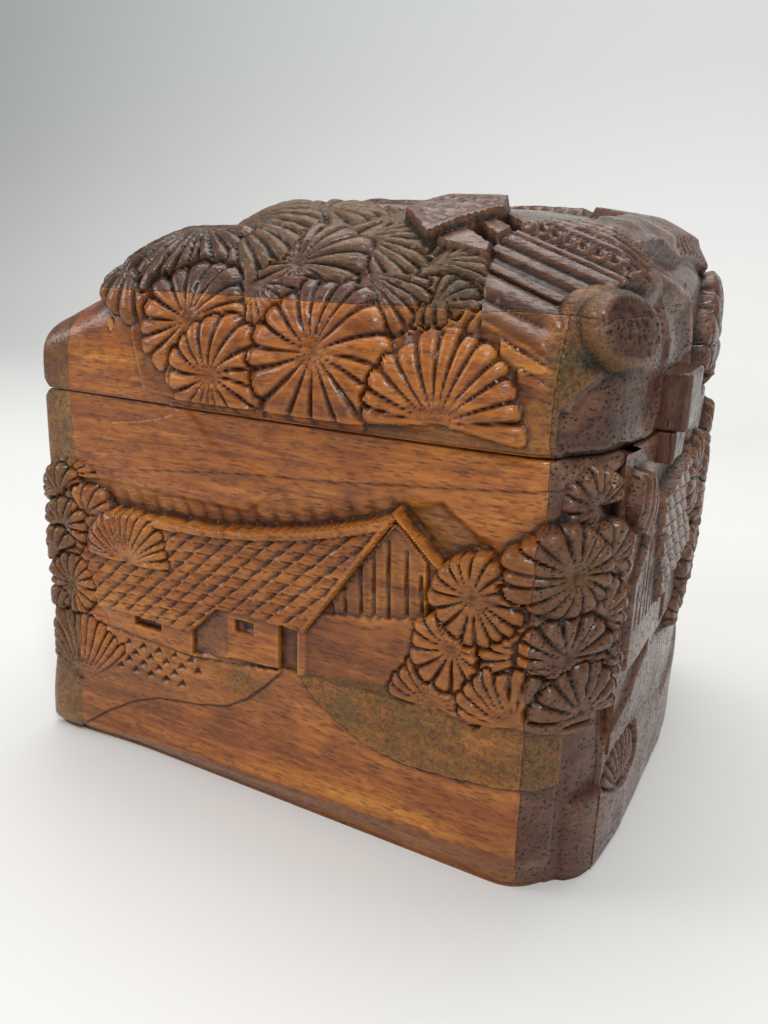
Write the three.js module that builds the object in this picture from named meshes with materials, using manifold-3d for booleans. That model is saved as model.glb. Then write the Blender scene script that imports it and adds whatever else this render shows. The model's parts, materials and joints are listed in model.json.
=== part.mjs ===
// Carved wooden jewelry box: a glued plank case, a domed lid on two brass butt hinges
// at its left end, and a lift-out tray. Millimetres, +Z up, origin at the centre of the
// footprint on the surface that the box stands on. The carved cottage faces -Y.
import * as THREE from "three";
import { mergeVertices } from "three/addons/utils/BufferGeometryUtils.js";
import Module from "manifold-3d";

const wasm = await Module();
wasm.setup();

// ---- Driving dimensions -------------------------------------------------------------
const PLANK = 12.5; // thickness of the case and lid planks
const GLUE = 0.1; // width of a glue line
const LEFT = -91.5; // outer face of the left plank
const RIGHT = 95; // outer face of the right plank, before its carving
const HALF_DEPTH = 82.5; // outer faces of the front and back planks, before carving
const JOINT_X = 79; // planes where the end planks meet the front and back planks
const INNER_Y = HALF_DEPTH - PLANK; // inner faces of the front and back planks
const SEAM = 123.6; // height of the parting line between case and lid
const SEAM_GAP = 0.4;
const FOOT_BEVEL = 9; // height of the bevel round the foot
const FOOT_INSET = 2;
const BASE_TOP = 12; // upper face of the base board
const LID_CEILING = 142; // underside of the lid's top block
const TOP_JOINT = 157; // height where the top block laps over the lid planks
const CREST = 183; // highest level of the smooth dome
const CARVE_DEEP = 6; // how far a carved piece reaches back into its plank
const FELT = 1.5;

// The dome's ridge line, as pairs of x and height.
const RIDGE = [
  [LEFT, 147], [-84, 151], [-74, 156], [-64, 163.5], [-54, 171], [-44, 176], [-32, 180],
  [-16, CREST], [0, 182.5], [20, 181.5], [45, 181], [62, 179.5], [78, 177], [88, 172],
  [RIGHT, 162],
];

// Butt hinges at the left end: pin along Y in the seam.
const HINGE = {
  x: -88, // pin axis
  z: SEAM,
  places: [-48, 48], // middle of each hinge along Y
  length: 32,
  knuckles: 5,
  knuckleR: 2.2,
  pinR: 1,
  pinPlay: 0.1,
  leafThick: 1.2,
  leafEnd: -79.4, // free edge of both leaves
  clearance: 0.5,
  groove: 3.5, // depth of the V-groove that lets the lid fold back
  grooveAngle: 50,
};
const SCREW = { headR: 1.8, shankR: 0.9, length: 8, offsetY: 10.5, x: -82.6, play: 0.12 };

// Finger pull on the lid's right end and the keeper block below it.
const PULL = { y: -25, width: 20, height: 16, proud: 6.5 };
const KEEPER = { y: -27, width: 15, height: 9, proud: 4 };

// Lift-out tray.
const TRAY = { play: 1.4, bottom: 87, height: 30, wall: 5, floor: 3.5, longY: 14, crossX: 26 };
const RUNNER = { wide: 7, tall: 7, inset: 6 };

// ---- Materials ----------------------------------------------------------------------
const finish = (color, roughness, metalness = 0) =>
  new THREE.MeshStandardMaterial({ color, roughness, metalness });
const mahogany = finish(0x96592c, 0.38);
const rosewood = finish(0x5c443c, 0.4);
const trayWood = finish(0x8a5a35, 0.5);
const brass = finish(0xb08d4a, 0.35, 1);
const felt = finish(0x5a1320, 0.95);

// ---- Solids -------------------------------------------------------------------------
function solidOf(geometry) {
  const plain = geometry.clone();
  plain.deleteAttribute("normal");
  plain.deleteAttribute("uv");
  const merged = mergeVertices(plain, 1e-4);
  return new wasm.Manifold(
    new wasm.Mesh({
      numProp: 3,
      vertProperties: new Float32Array(merged.attributes.position.array),
      triVerts: new Uint32Array(merged.index.array),
    }),
  );
}

function geometryOf(solid) {
  const mesh = solid.getMesh();
  const points = new Float32Array(mesh.numVert * 3);
  for (let i = 0; i < mesh.numVert; i += 1) {
    const from = i * mesh.numProp;
    points.set(mesh.vertProperties.subarray(from, from + 3), i * 3);
  }
  const geometry = new THREE.BufferGeometry();
  geometry.setAttribute("position", new THREE.BufferAttribute(points, 3));
  geometry.setIndex(new THREE.BufferAttribute(mesh.triVerts, 1));
  geometry.computeVertexNormals();
  return geometry;
}

// A box between two corners.
function block(x0, x1, y0, y1, z0, z1) {
  const geometry = new THREE.BoxGeometry(x1 - x0, y1 - y0, z1 - z0);
  geometry.translate((x0 + x1) / 2, (y0 + y1) / 2, (z0 + z1) / 2);
  return solidOf(geometry);
}

// A closed solid through horizontal sections that all have the same number of points.
function loft(sections) {
  const count = sections[0].length;
  const points = sections.flat().map((p) => new THREE.Vector3(...p));
  const faces = [];
  for (let level = 0; level + 1 < sections.length; level += 1) {
    for (let i = 0; i < count; i += 1) {
      const a = level * count + i;
      const b = level * count + ((i + 1) % count);
      faces.push([a, b, b + count], [a, b + count, a + count]);
    }
  }
  const cap = (section) =>
    THREE.ShapeUtils.triangulateShape(section.map(([x, y]) => new THREE.Vector2(x, y)), []);
  const top = (sections.length - 1) * count;
  cap(sections[0]).forEach(([a, b, c]) => faces.push([a, c, b]));
  cap(sections[sections.length - 1]).forEach(([a, b, c]) =>
    faces.push([a + top, b + top, c + top]),
  );
  const geometry = new THREE.BufferGeometry().setFromPoints(points);
  geometry.setIndex(faces.flat());
  return solidOf(geometry);
}

// The biggest body of a solid: chips that a cut leaves at its edge are dropped.
function biggest(solid) {
  return solid.decompose().reduce((a, b) => (a.volume() > b.volume() ? a : b));
}

const unite = (solids) => solids.reduce((a, b) => a.add(b));

// Linear interpolation in a list of pairs.
function along(pairs, value) {
  const next = pairs.findIndex(([at]) => at >= value);
  if (next <= 0) return pairs[next === 0 ? 0 : pairs.length - 1][1];
  const [a, from] = pairs[next - 1];
  const [b, to] = pairs[next];
  return from + ((to - from) * (value - a)) / (b - a);
}

// ---- Envelopes ----------------------------------------------------------------------
// Front and back edges of the plan at x. The right end is cut back at both corners.
const FRONT_EDGE = [[LEFT, -HALF_DEPTH], [JOINT_X, -HALF_DEPTH], [91.5, -67], [RIGHT, -50]];
const BACK_EDGE = [[LEFT, HALF_DEPTH], [JOINT_X, HALF_DEPTH], [90, 62], [RIGHT, 30]];

// Plan of the dome at height z: x samples along the front, then back again.
const DOME_X = [0, 0.03, 0.12, 0.25, 0.4, 0.55, 0.7, 0.82, 0.92, 0.97, 1];
const DOME_Z = [SEAM, 132, 140, 147, 153, 159, 165, 171, 176, 180, 182.2];
const RIDGE_Y = 0;

// How full the dome's cross-section is at x: square at the left end, rounder beyond it.
const fullness = (x) => THREE.MathUtils.lerp(5, 2.6, THREE.MathUtils.smoothstep(x, -75, -30));

// Share of the half depth that is left at height z.
function narrowing(x, z) {
  const share = Math.min(1, Math.max(0, (z - SEAM) / (along(RIDGE, x) - SEAM)));
  const n = fullness(x);
  return (1 - share ** n) ** (1 / n);
}

const domeEdge = (edge, x, z) => RIDGE_Y + (along(edge, x) - RIDGE_Y) * narrowing(x, z);

function domeSection(z) {
  const rising = RIDGE.filter(([, h]) => h >= CREST - 1e-6)[0][0];
  let left = LEFT;
  let right = RIGHT;
  while (left < rising && along(RIDGE, left) < z + 0.3) left += 0.25;
  while (right > rising && along(RIDGE, right) < z + 0.3) right -= 0.25;
  const front = DOME_X.map((t) => left + (right - left) * t);
  const back = [...front].reverse();
  return [
    ...front.map((x) => [x, domeEdge(FRONT_EDGE, x, z), z]),
    ...back.map((x) => [x, domeEdge(BACK_EDGE, x, z), z]),
  ];
}

function caseSection(inset, z) {
  const shrink = (x, y) => [x - Math.sign(x) * inset, y - Math.sign(y) * inset, z];
  const front = FRONT_EDGE.map(([x, y]) => shrink(x, y));
  const back = [...BACK_EDGE].reverse().map(([x, y]) => shrink(x, y));
  return [...front, ...back];
}

const caseEnvelope = loft([
  caseSection(FOOT_INSET, 0),
  caseSection(0, FOOT_BEVEL),
  caseSection(0, SEAM - SEAM_GAP / 2),
]);
const lidEnvelope = loft(DOME_Z.map(domeSection)).subtract(
  block(-200, 200, -200, 200, 0, SEAM + SEAM_GAP / 2),
);

// ---- Carving ------------------------------------------------------------------------
// A frame on a face: u runs along the face, v up it, w out of it.
function faceFrame(point, outward) {
  const w = outward.clone().normalize();
  const u = new THREE.Vector3(0, 0, 1).cross(w).normalize();
  const v = w.clone().cross(u);
  return new THREE.Matrix4().makeBasis(u, v, w).setPosition(point);
}

const FACES = {
  front: (u, z) => faceFrame(new THREE.Vector3(u, -HALF_DEPTH, z), new THREE.Vector3(0, -1, 0)),
  right: (u, z) => faceFrame(new THREE.Vector3(RIGHT - 2, u, z), new THREE.Vector3(1, 0, 0)),
  left: (u, z) => faceFrame(new THREE.Vector3(LEFT, u, z), new THREE.Vector3(-1, 0, 0)),
  back: (u, z) => faceFrame(new THREE.Vector3(u, HALF_DEPTH, z), new THREE.Vector3(0, 1, 0)),
  corner: (u, z) => faceFrame(new THREE.Vector3(85 + u, -74 + u, z), new THREE.Vector3(1, -1, 0)),
  domeFront: (x, z) => domeFrame(FRONT_EDGE, x, z),
  domeBack: (x, z) => domeFrame(BACK_EDGE, x, z),
};

function domeFrame(edge, x, z) {
  const step = 2;
  const y = domeEdge(edge, x, z);
  const lean = (domeEdge(edge, x, z + step) - domeEdge(edge, x, z - step)) / (2 * step);
  const turn = (domeEdge(edge, x + step, z) - domeEdge(edge, x - step, z)) / (2 * step);
  const side = Math.sign(along(edge, 0));
  return faceFrame(new THREE.Vector3(x, y, z), new THREE.Vector3(-side * turn, side, -side * lean));
}

// A flat carved piece: its outline in the face's u and v, standing out by proud.
function slab(frame, outline, proud, deep = CARVE_DEEP) {
  const shape = new THREE.Shape(outline.map(([u, v]) => new THREE.Vector2(u, v)));
  const geometry = new THREE.ExtrudeGeometry(shape, { depth: proud + deep, bevelEnabled: false });
  geometry.translate(0, 0, -deep);
  return solidOf(geometry.applyMatrix4(frame));
}

// A palm leaf: a scalloped fan of lobes, whole or half, about its origin.
function leaf([face, u, z, radius, start, sweep, proud]) {
  const whole = sweep >= 360;
  const lobes = Math.max(4, Math.round((radius * sweep) / 700));
  const outline = [];
  for (let i = 0; i < lobes; i += 1) {
    for (const [share, reach] of [[0.08, 0.9], [0.5, 1], [0.92, 0.9]]) {
      const angle = THREE.MathUtils.degToRad(start + (sweep * (i + share)) / lobes);
      outline.push([radius * reach * Math.cos(angle), radius * reach * Math.sin(angle)]);
    }
  }
  if (!whole) outline.push([0, -radius * 0.12]);
  return slab(FACES[face](u, z), outline, proud);
}

// Palm leaves: face, place along it, height, radius, first angle, sweep, how far proud.
const CASE_LEAVES = [
  ["front", 64, 84.5, 11, 0, 360, 4], ["front", 59, 70, 10, 0, 360, 3.5],
  ["front", 54, 54, 11, -10, 200, 3], ["front", 75, 52, 14, 0, 180, 4.5],
  ["front", 78, 71, 12, 0, 360, 5], ["corner", 3, 96, 12.5, 0, 360, 3],
  ["corner", 5, 76, 11, 0, 360, 3], ["corner", 5, 57, 11, 0, 360, 3],
  ["front", -54, 71, 17, 5, 170, 3.5], ["front", -84, 90, 9, 0, 360, 3],
  ["front", -86, 78, 8, 0, 360, 3], ["front", -83, 63, 10, 0, 360, 3.5],
  ["front", -80, 24, 24, 20, 110, 3.5],
  ["right", -38, 100, 15, -30, 240, 4], ["right", 8, 104, 13, 0, 360, 4],
  ["right", 34, 92, 16, 0, 360, 5], ["right", 48, 66, 15, 0, 360, 5],
  ["right", 20, 60, 14, 0, 360, 4], ["right", -60, 30, 15, 10, 160, 3],
  ["left", -60, 90, 15, 0, 360, 3.5], ["left", -36, 72, 15, 0, 360, 3.5],
  ["left", 44, 84, 18, 0, 360, 4], ["left", 62, 58, 16, 0, 360, 4],
  ["left", -66, 58, 12, 0, 360, 3], ["left", 66, 100, 11, 0, 360, 3],
  ["back", -62, 84, 15, 0, 360, 4], ["back", -40, 62, 15, 0, 360, 4],
  ["back", 60, 92, 16, 0, 360, 4], ["back", 42, 66, 15, 0, 360, 4],
  ["back", 66, 50, 15, 10, 160, 4], ["back", -66, 44, 15, 10, 160, 4],
];
const LID_LEAVES = [
  ["domeFront", -30, 138, 14, 0, 360, 4], ["domeFront", 2, 142, 17, 0, 360, 4.5],
  ["domeFront", 45, 131, 21, -8, 196, 5], ["domeFront", -40, 151, 14, 0, 360, 4],
  ["domeFront", -14, 158, 14, 0, 360, 4], ["domeFront", -50, 162, 10, 0, 360, 3],
  ["domeFront", -26, 168, 12, 0, 360, 3.5], ["domeFront", 8, 166, 15, 0, 360, 3.5],
  ["domeFront", 31, 168, 13, 0, 360, 3.5], ["domeFront", 12, 176, 14, 0, 180, 3],
  ["domeBack", -30, 150, 16, 0, 360, 4], ["domeBack", 8, 146, 18, 0, 360, 4],
  ["domeBack", 44, 148, 17, 0, 360, 4], ["domeBack", -8, 166, 15, 0, 360, 4],
  ["domeBack", 28, 168, 15, 0, 360, 4],
];

// Cottage on the front: outlines in x and z, and how far each stands out.
const FRONT_SLABS = [
  [[[-32, 88], [40, 103], [12, 64], [12, 62.5], [-19, 62.5], [-30, 53], [-30, 52], [-80, 52],
    [-66, 68]], 4.5], // tiled roof
  [[[40, 103], [55, 89], [53, 86], [40, 98.5], [14, 63], [12, 64]], 5], // barge boards
  [[[13, 63], [40, 99], [48, 91], [48, 49], [13, 49]], 1.8], // gable end
  [[[-30, 44], [-30, 62], [12, 62], [12, 48], [3, 48], [-15.5, 46]], 2.6], // long wall
  [[[-66, 44], [-70, 53], [-31, 53], [-31, 44]], 2], // lean-to wall
  [[[14, 43], [20, 38], [30, 33], [45, 30], [79, 33], [79, 50], [13, 50]], 1.4], // right bank
  [[[-79, 8], [-62, 17], [-45, 24], [-17, 28.5], [-2, 40], [4, 47], [-30, 44], [-79, 44]],
    1.2], // left bank
];
// Cottage on the right end, hills and the ribbed roof that laps the lid's corner.
const RIGHT_SLABS = [
  [[[-46, 60], [-46, 84], [-30, 98], [-14, 84], [-14, 60]], 2],
  [[[-50, 82], [-30, 102], [-26, 102], [-6, 84], [-10, 80], [-30, 96]], 4.5],
  [[[-14, 60], [-14, 84], [10, 92], [14, 60]], 3],
];
const at = (face, slabs) => slabs.map(([outline, proud]) => slab(FACES[face](0, 0), outline, proud));

const ROOF = { x: 82, y: -52, z: 160, long: 42, wide: 30, proud: 4, lean: 34, turn: 40 };
function lidRoof() {
  const geometry = new THREE.BoxGeometry(ROOF.long, ROOF.wide, 14);
  geometry.translate(0, 0, ROOF.proud - 7);
  geometry.rotateX(THREE.MathUtils.degToRad(ROOF.lean));
  geometry.rotateZ(THREE.MathUtils.degToRad(ROOF.turn));
  geometry.translate(ROOF.x - 12, ROOF.y, ROOF.z + 4);
  return solidOf(geometry);
}

// Boulder below the ribbed roof, on the lid's front right corner.
const BOULDER = { x: 88, y: -58, z: 154, radius: 10, squash: 1.2 };
function boulder() {
  const geometry = new THREE.SphereGeometry(BOULDER.radius, 12, 8);
  geometry.scale(1, BOULDER.squash, 1);
  geometry.translate(BOULDER.x, BOULDER.y, BOULDER.z);
  return solidOf(geometry);
}

const caseCarving = unite([
  ...CASE_LEAVES.map(leaf),
  ...at("front", FRONT_SLABS),
  ...at("right", RIGHT_SLABS),
]);
const lidCarving = unite([...LID_LEAVES.map(leaf), lidRoof(), boulder()]);

// ---- Hinge cuts ---------------------------------------------------------------------
// A round bar along Y.
function bar(x, z, radius, y0, y1, sides = 24) {
  const geometry = new THREE.CylinderGeometry(radius, radius, y1 - y0, sides);
  geometry.translate(0, (y0 + y1) / 2, 0);
  geometry.translate(x, 0, z);
  return solidOf(geometry);
}

// The V-groove along the left end, which the lid's end folds into.
function hingeGroove() {
  const reach = 14;
  const rise = reach * Math.tan(THREE.MathUtils.degToRad(HINGE.grooveAngle));
  const shape = new THREE.Shape([
    new THREE.Vector2(0, 0),
    new THREE.Vector2(-reach, rise),
    new THREE.Vector2(-reach, -rise),
  ]);
  const geometry = new THREE.ExtrudeGeometry(shape, { depth: 240, bevelEnabled: false });
  geometry.translate(0, 0, -120);
  geometry.rotateX(Math.PI / 2);
  geometry.translate(HINGE.x, 0, HINGE.z);
  return solidOf(geometry);
}

const half = HINGE.length / 2;
const groove = hingeGroove();
const barrelRoom = unite(
  HINGE.places.map((y) =>
    bar(HINGE.x, HINGE.z, HINGE.knuckleR + HINGE.clearance, y - half - 0.6, y + half + 0.6),
  ),
);

// Mortise for one row of leaves; side is -1 in the case and 1 in the lid.
function mortises(side) {
  const face = HINGE.z + (side * SEAM_GAP) / 2;
  const floor = face + side * (HINGE.leafThick + GLUE);
  const [z0, z1] = [Math.min(face - side, floor), Math.max(face - side, floor)];
  return unite(
    HINGE.places.map((y) => block(HINGE.x, -JOINT_X + 1, y - half - 0.3, y + half + 0.3, z0, z1)),
  );
}

// Screws stand upright in the planks; side is -1 in the case and 1 in the lid.
function screwSolid(y, side, play = 0) {
  const face = HINGE.z + side * (SEAM_GAP / 2 + 0.05 - play);
  const head = SCREW.headR + play;
  const shank = SCREW.shankR + play;
  const profile = [
    [0, 0], [head, 0], [shank, head - shank], [shank, SCREW.length - 1.5],
    [0, SCREW.length + play * 2],
  ];
  const outward = profile.map(([r, d]) => new THREE.Vector2(r, side * d));
  const geometry = new THREE.LatheGeometry(side < 0 ? outward.reverse() : outward, 16);
  geometry.rotateX(Math.PI / 2);
  geometry.translate(SCREW.x, y, face);
  return solidOf(geometry);
}

const screwPlaces = HINGE.places.flatMap((y) => [y - SCREW.offsetY, y + SCREW.offsetY]);
const screwRoom = (side) => unite(screwPlaces.map((y) => screwSolid(y, side, SCREW.play)));

// ---- Planks -------------------------------------------------------------------------
const FAR = 140; // beyond every face
const IN = GLUE / 2;

// Regions of the four walls between two heights.
const wallRegions = (z0, z1) => ({
  front: block(-JOINT_X + IN, JOINT_X - IN, -FAR, -INNER_Y, z0, z1),
  back: block(-JOINT_X + IN, JOINT_X - IN, INNER_Y, FAR, z0, z1),
  left: block(-FAR, -JOINT_X - IN, -FAR, FAR, z0, z1),
  right: block(JOINT_X + IN, FAR, -FAR, FAR, z0, z1),
});

const caseBlank = caseEnvelope.add(
  caseCarving.intersect(block(-FAR, FAR, -FAR, FAR, 4, SEAM - SEAM_GAP / 2)),
);
const lidBlank = lidEnvelope.add(
  lidCarving.intersect(block(-FAR, FAR, -FAR, FAR, SEAM + SEAM_GAP / 2, 200)),
);
const caseWalls = wallRegions(-1, SEAM);
const lidWalls = wallRegions(SEAM, TOP_JOINT - IN);

const plank = (blank, region) => biggest(blank.intersect(region));

function hingedPlank(blank, region, side) {
  return biggest(
    blank
      .intersect(region)
      .subtract(groove)
      .subtract(barrelRoom)
      .subtract(mortises(side))
      .subtract(screwRoom(side)),
  );
}

// The lid's top block laps over the planks and is let down between them.
function topBlock() {
  const between = block(
    -JOINT_X + IN, JOINT_X - IN, -INNER_Y + GLUE, INNER_Y - GLUE, LID_CEILING, TOP_JOINT + 1,
  );
  return biggest(lidBlank.intersect(between.add(block(-FAR, FAR, -FAR, FAR, TOP_JOINT + IN, 200))));
}

// An oval filler peg let into the lid's front plank.
const PEG = { x: -60.5, z: 146, wide: 2.4, tall: 4.4, deep: 5, proud: 0.3 };
function peg(play = 0) {
  const geometry = new THREE.CylinderGeometry(1, 1, PEG.deep + PEG.proud + play, 16);
  geometry.scale(PEG.wide / 2 + play, 1, PEG.tall / 2 + play);
  geometry.translate(PEG.x, domeEdge(FRONT_EDGE, PEG.x, PEG.z) + (PEG.deep - PEG.proud) / 2, PEG.z);
  return solidOf(geometry);
}

// ---- Hinge pieces -------------------------------------------------------------------
// One leaf with its knuckles; side is -1 in the case and 1 in the lid.
function hingeLeaf(y, side) {
  const pitch = HINGE.length / HINGE.knuckles;
  const gap = 0.15;
  const face = HINGE.z + (side * SEAM_GAP) / 2;
  const back = face + side * HINGE.leafThick;
  const [z0, z1] = [Math.min(face, back), Math.max(face, back)];
  const clear = HINGE.x + HINGE.knuckleR + HINGE.clearance;
  const pieces = [block(clear, HINGE.leafEnd, y - half, y + half, z0, z1)];
  for (let i = side < 0 ? 0 : 1; i < HINGE.knuckles; i += 2) {
    const from = y - half + i * pitch + gap;
    const to = from + pitch - 2 * gap;
    pieces.push(bar(HINGE.x, HINGE.z, HINGE.knuckleR, from, to));
    pieces.push(block(HINGE.x, clear + 1, from, to, z0, z1));
  }
  return unite(pieces)
    .subtract(bar(HINGE.x, HINGE.z, HINGE.pinR + HINGE.pinPlay, y - FAR, y + FAR))
    .subtract(screwRoom(side));
}

// Arched block with a flat back, standing out of the right end.
function archedBlock(y, width, z0, z1, x0, x1) {
  const radius = width / 2;
  const shape = new THREE.Shape();
  shape.moveTo(-radius, z0);
  shape.lineTo(radius, z0);
  shape.lineTo(radius, z1 - 3);
  shape.quadraticCurveTo(radius, z1, radius - 3, z1);
  shape.lineTo(3 - radius, z1);
  shape.quadraticCurveTo(-radius, z1, -radius, z1 - 3);
  const geometry = new THREE.ExtrudeGeometry(shape, {
    depth: x1 - x0, bevelEnabled: false, curveSegments: 4,
  });
  geometry.rotateX(Math.PI / 2).rotateZ(Math.PI / 2);
  geometry.translate(x0, y, 0);
  return solidOf(geometry);
}

// ---- Assembly -----------------------------------------------------------------------
const box = new THREE.Group();
const caseGroup = new THREE.Group();
const lidGroup = new THREE.Group();
const trayGroup = new THREE.Group();
box.add(caseGroup, lidGroup, trayGroup);

function place(group, name, solid, material) {
  const mesh = new THREE.Mesh(geometryOf(solid), material);
  mesh.name = name;
  group.add(mesh);
}

const base = { x: JOINT_X - IN - GLUE, y: INNER_Y - GLUE };
place(caseGroup, "base_board", block(-base.x, base.x, -base.y, base.y, 0, BASE_TOP), trayWood);
place(caseGroup, "front_wall", plank(caseBlank, caseWalls.front), mahogany);
place(caseGroup, "back_wall", plank(caseBlank, caseWalls.back), mahogany);
place(caseGroup, "left_wall", hingedPlank(caseBlank, caseWalls.left, -1), mahogany);

const keeperTop = SEAM - SEAM_GAP / 2;
const pullBottom = SEAM + SEAM_GAP / 2;
const keeperRoom = block(
  RIGHT - 2, FAR, KEEPER.y - KEEPER.width / 2 - 0.2, KEEPER.y + KEEPER.width / 2 + 0.2,
  keeperTop - KEEPER.height - 0.2, SEAM,
);
const pullRoom = block(
  RIGHT - 2, FAR, PULL.y - PULL.width / 2 - 0.2, PULL.y + PULL.width / 2 + 0.2,
  SEAM, pullBottom + PULL.height + 0.2,
);
place(
  caseGroup, "right_wall", biggest(plank(caseBlank, caseWalls.right).subtract(keeperRoom)), rosewood,
);
place(
  caseGroup, "keeper_block",
  block(
    RIGHT - 1.9, RIGHT + KEEPER.proud, KEEPER.y - KEEPER.width / 2, KEEPER.y + KEEPER.width / 2,
    keeperTop - KEEPER.height, keeperTop,
  ),
  rosewood,
);

const runnerTop = TRAY.bottom - 0.2;
for (const [side, name] of [[-1, "front"], [1, "back"]]) {
  const outer = side * (INNER_Y - GLUE);
  const inner = side * (INNER_Y - GLUE - RUNNER.wide);
  const [y0, y1] = [Math.min(outer, inner), Math.max(outer, inner)];
  place(
    caseGroup, `tray_runner_${name}`,
    block(-JOINT_X + RUNNER.inset, JOINT_X - RUNNER.inset, y0, y1, runnerTop - RUNNER.tall, runnerTop),
    trayWood,
  );
}
place(
  caseGroup, "base_felt",
  block(-base.x + 1, base.x - 1, -base.y + 1, base.y - 1, BASE_TOP + GLUE, BASE_TOP + GLUE + FELT),
  felt,
);

const frontPlank = plank(lidBlank, lidWalls.front);
place(lidGroup, "lid_front_wall", biggest(frontPlank.subtract(peg(0.12))), mahogany);
place(lidGroup, "lid_peg", peg(), trayWood);
place(lidGroup, "lid_back_wall", plank(lidBlank, lidWalls.back), mahogany);
place(lidGroup, "lid_left_wall", hingedPlank(lidBlank, lidWalls.left, 1), mahogany);
place(
  lidGroup, "lid_right_wall", biggest(plank(lidBlank, lidWalls.right).subtract(pullRoom)), rosewood,
);
place(lidGroup, "lid_top", topBlock(), rosewood);
place(
  lidGroup, "lid_pull",
  archedBlock(
    PULL.y, PULL.width, pullBottom, pullBottom + PULL.height, RIGHT - 1.9, RIGHT + PULL.proud,
  ),
  rosewood,
);
place(
  lidGroup, "lid_felt",
  block(
    -base.x + 1, base.x - 1, -base.y + 1, base.y - 1, LID_CEILING - GLUE - FELT, LID_CEILING - GLUE,
  ),
  felt,
);

HINGE.places.forEach((y, i) => {
  const where = i === 0 ? "front" : "back";
  place(caseGroup, `hinge_${where}_case_leaf`, hingeLeaf(y, -1), brass);
  place(lidGroup, `hinge_${where}_lid_leaf`, hingeLeaf(y, 1), brass);
  place(caseGroup, `hinge_${where}_pin`, bar(HINGE.x, HINGE.z, HINGE.pinR, y - half, y + half), brass);
});
screwPlaces.forEach((y, i) => {
  place(caseGroup, `case_screw_${i + 1}`, screwSolid(y, -1), brass);
  place(lidGroup, `lid_screw_${i + 1}`, screwSolid(y, 1), brass);
});

// Tray: a floor, four sides and three dividers, glued, with a felt in the bottom.
const tray = {
  x: JOINT_X - TRAY.play, y: INNER_Y - TRAY.play, z0: TRAY.bottom, z1: TRAY.bottom + TRAY.height,
};
const inside = { x: tray.x - TRAY.wall, y: tray.y - TRAY.wall, z: tray.z0 + TRAY.floor };
const dividerTop = tray.z1 - 4;
const trayPieces = {
  tray_floor: [-inside.x + GLUE, inside.x - GLUE, -inside.y + GLUE, inside.y - GLUE, tray.z0, inside.z],
  tray_front: [-inside.x + GLUE, inside.x - GLUE, -tray.y, -inside.y, tray.z0, tray.z1],
  tray_back: [-inside.x + GLUE, inside.x - GLUE, inside.y, tray.y, tray.z0, tray.z1],
  tray_left: [-tray.x, -inside.x, -tray.y, tray.y, tray.z0, tray.z1],
  tray_right: [inside.x, tray.x, -tray.y, tray.y, tray.z0, tray.z1],
  tray_long_divider: [
    -inside.x + GLUE, inside.x - GLUE, TRAY.longY, TRAY.longY + 4, inside.z + FELT + 2 * GLUE,
    dividerTop,
  ],
  tray_cross_divider_left: [
    -TRAY.crossX - 4, -TRAY.crossX, -inside.y + GLUE, TRAY.longY - GLUE,
    inside.z + FELT + 2 * GLUE, dividerTop,
  ],
  tray_cross_divider_right: [
    TRAY.crossX, TRAY.crossX + 4, -inside.y + GLUE, TRAY.longY - GLUE,
    inside.z + FELT + 2 * GLUE, dividerTop,
  ],
};
for (const [name, corners] of Object.entries(trayPieces)) {
  place(trayGroup, name, block(...corners), trayWood);
}
place(
  trayGroup, "tray_felt",
  block(
    -inside.x + 0.3, inside.x - 0.3, -inside.y + 0.3, inside.y - 0.3,
    inside.z + GLUE, inside.z + GLUE + FELT,
  ),
  felt,
);

export default box;
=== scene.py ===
"""Looks of the carved jewelry box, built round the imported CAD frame."""
import json
import math

import bpy
import bmesh
import numpy as np
from mathutils import Matrix, Vector


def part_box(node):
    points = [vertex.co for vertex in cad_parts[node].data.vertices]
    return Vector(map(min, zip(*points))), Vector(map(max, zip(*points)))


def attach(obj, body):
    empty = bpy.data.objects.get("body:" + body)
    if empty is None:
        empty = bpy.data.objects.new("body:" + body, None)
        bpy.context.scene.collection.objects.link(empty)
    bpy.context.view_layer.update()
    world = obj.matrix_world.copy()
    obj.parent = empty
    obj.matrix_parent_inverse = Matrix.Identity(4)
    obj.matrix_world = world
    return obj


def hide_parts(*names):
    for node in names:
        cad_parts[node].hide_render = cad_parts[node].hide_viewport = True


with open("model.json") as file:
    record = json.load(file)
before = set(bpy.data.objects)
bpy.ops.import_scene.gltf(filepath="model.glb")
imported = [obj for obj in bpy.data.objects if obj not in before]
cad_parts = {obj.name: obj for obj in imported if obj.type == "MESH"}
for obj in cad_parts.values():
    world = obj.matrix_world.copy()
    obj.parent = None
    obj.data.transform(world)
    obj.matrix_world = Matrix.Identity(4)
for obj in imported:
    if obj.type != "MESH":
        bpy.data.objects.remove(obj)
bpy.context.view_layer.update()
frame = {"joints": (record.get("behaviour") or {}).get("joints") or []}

# ---- Sizes, in millimetres unless the name says otherwise ---------------------------
MM = 0.001
STEP = 0.62  # spacing of the carved surface's mesh


def span(*nodes):
    """Lowest and highest corners of some CAD nodes together, in millimetres."""
    boxes = [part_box(node) for node in nodes]
    low = np.min([box[0] for box in boxes], axis=0) / MM
    high = np.max([box[1] for box in boxes], axis=0) / MM
    return low, high


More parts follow.
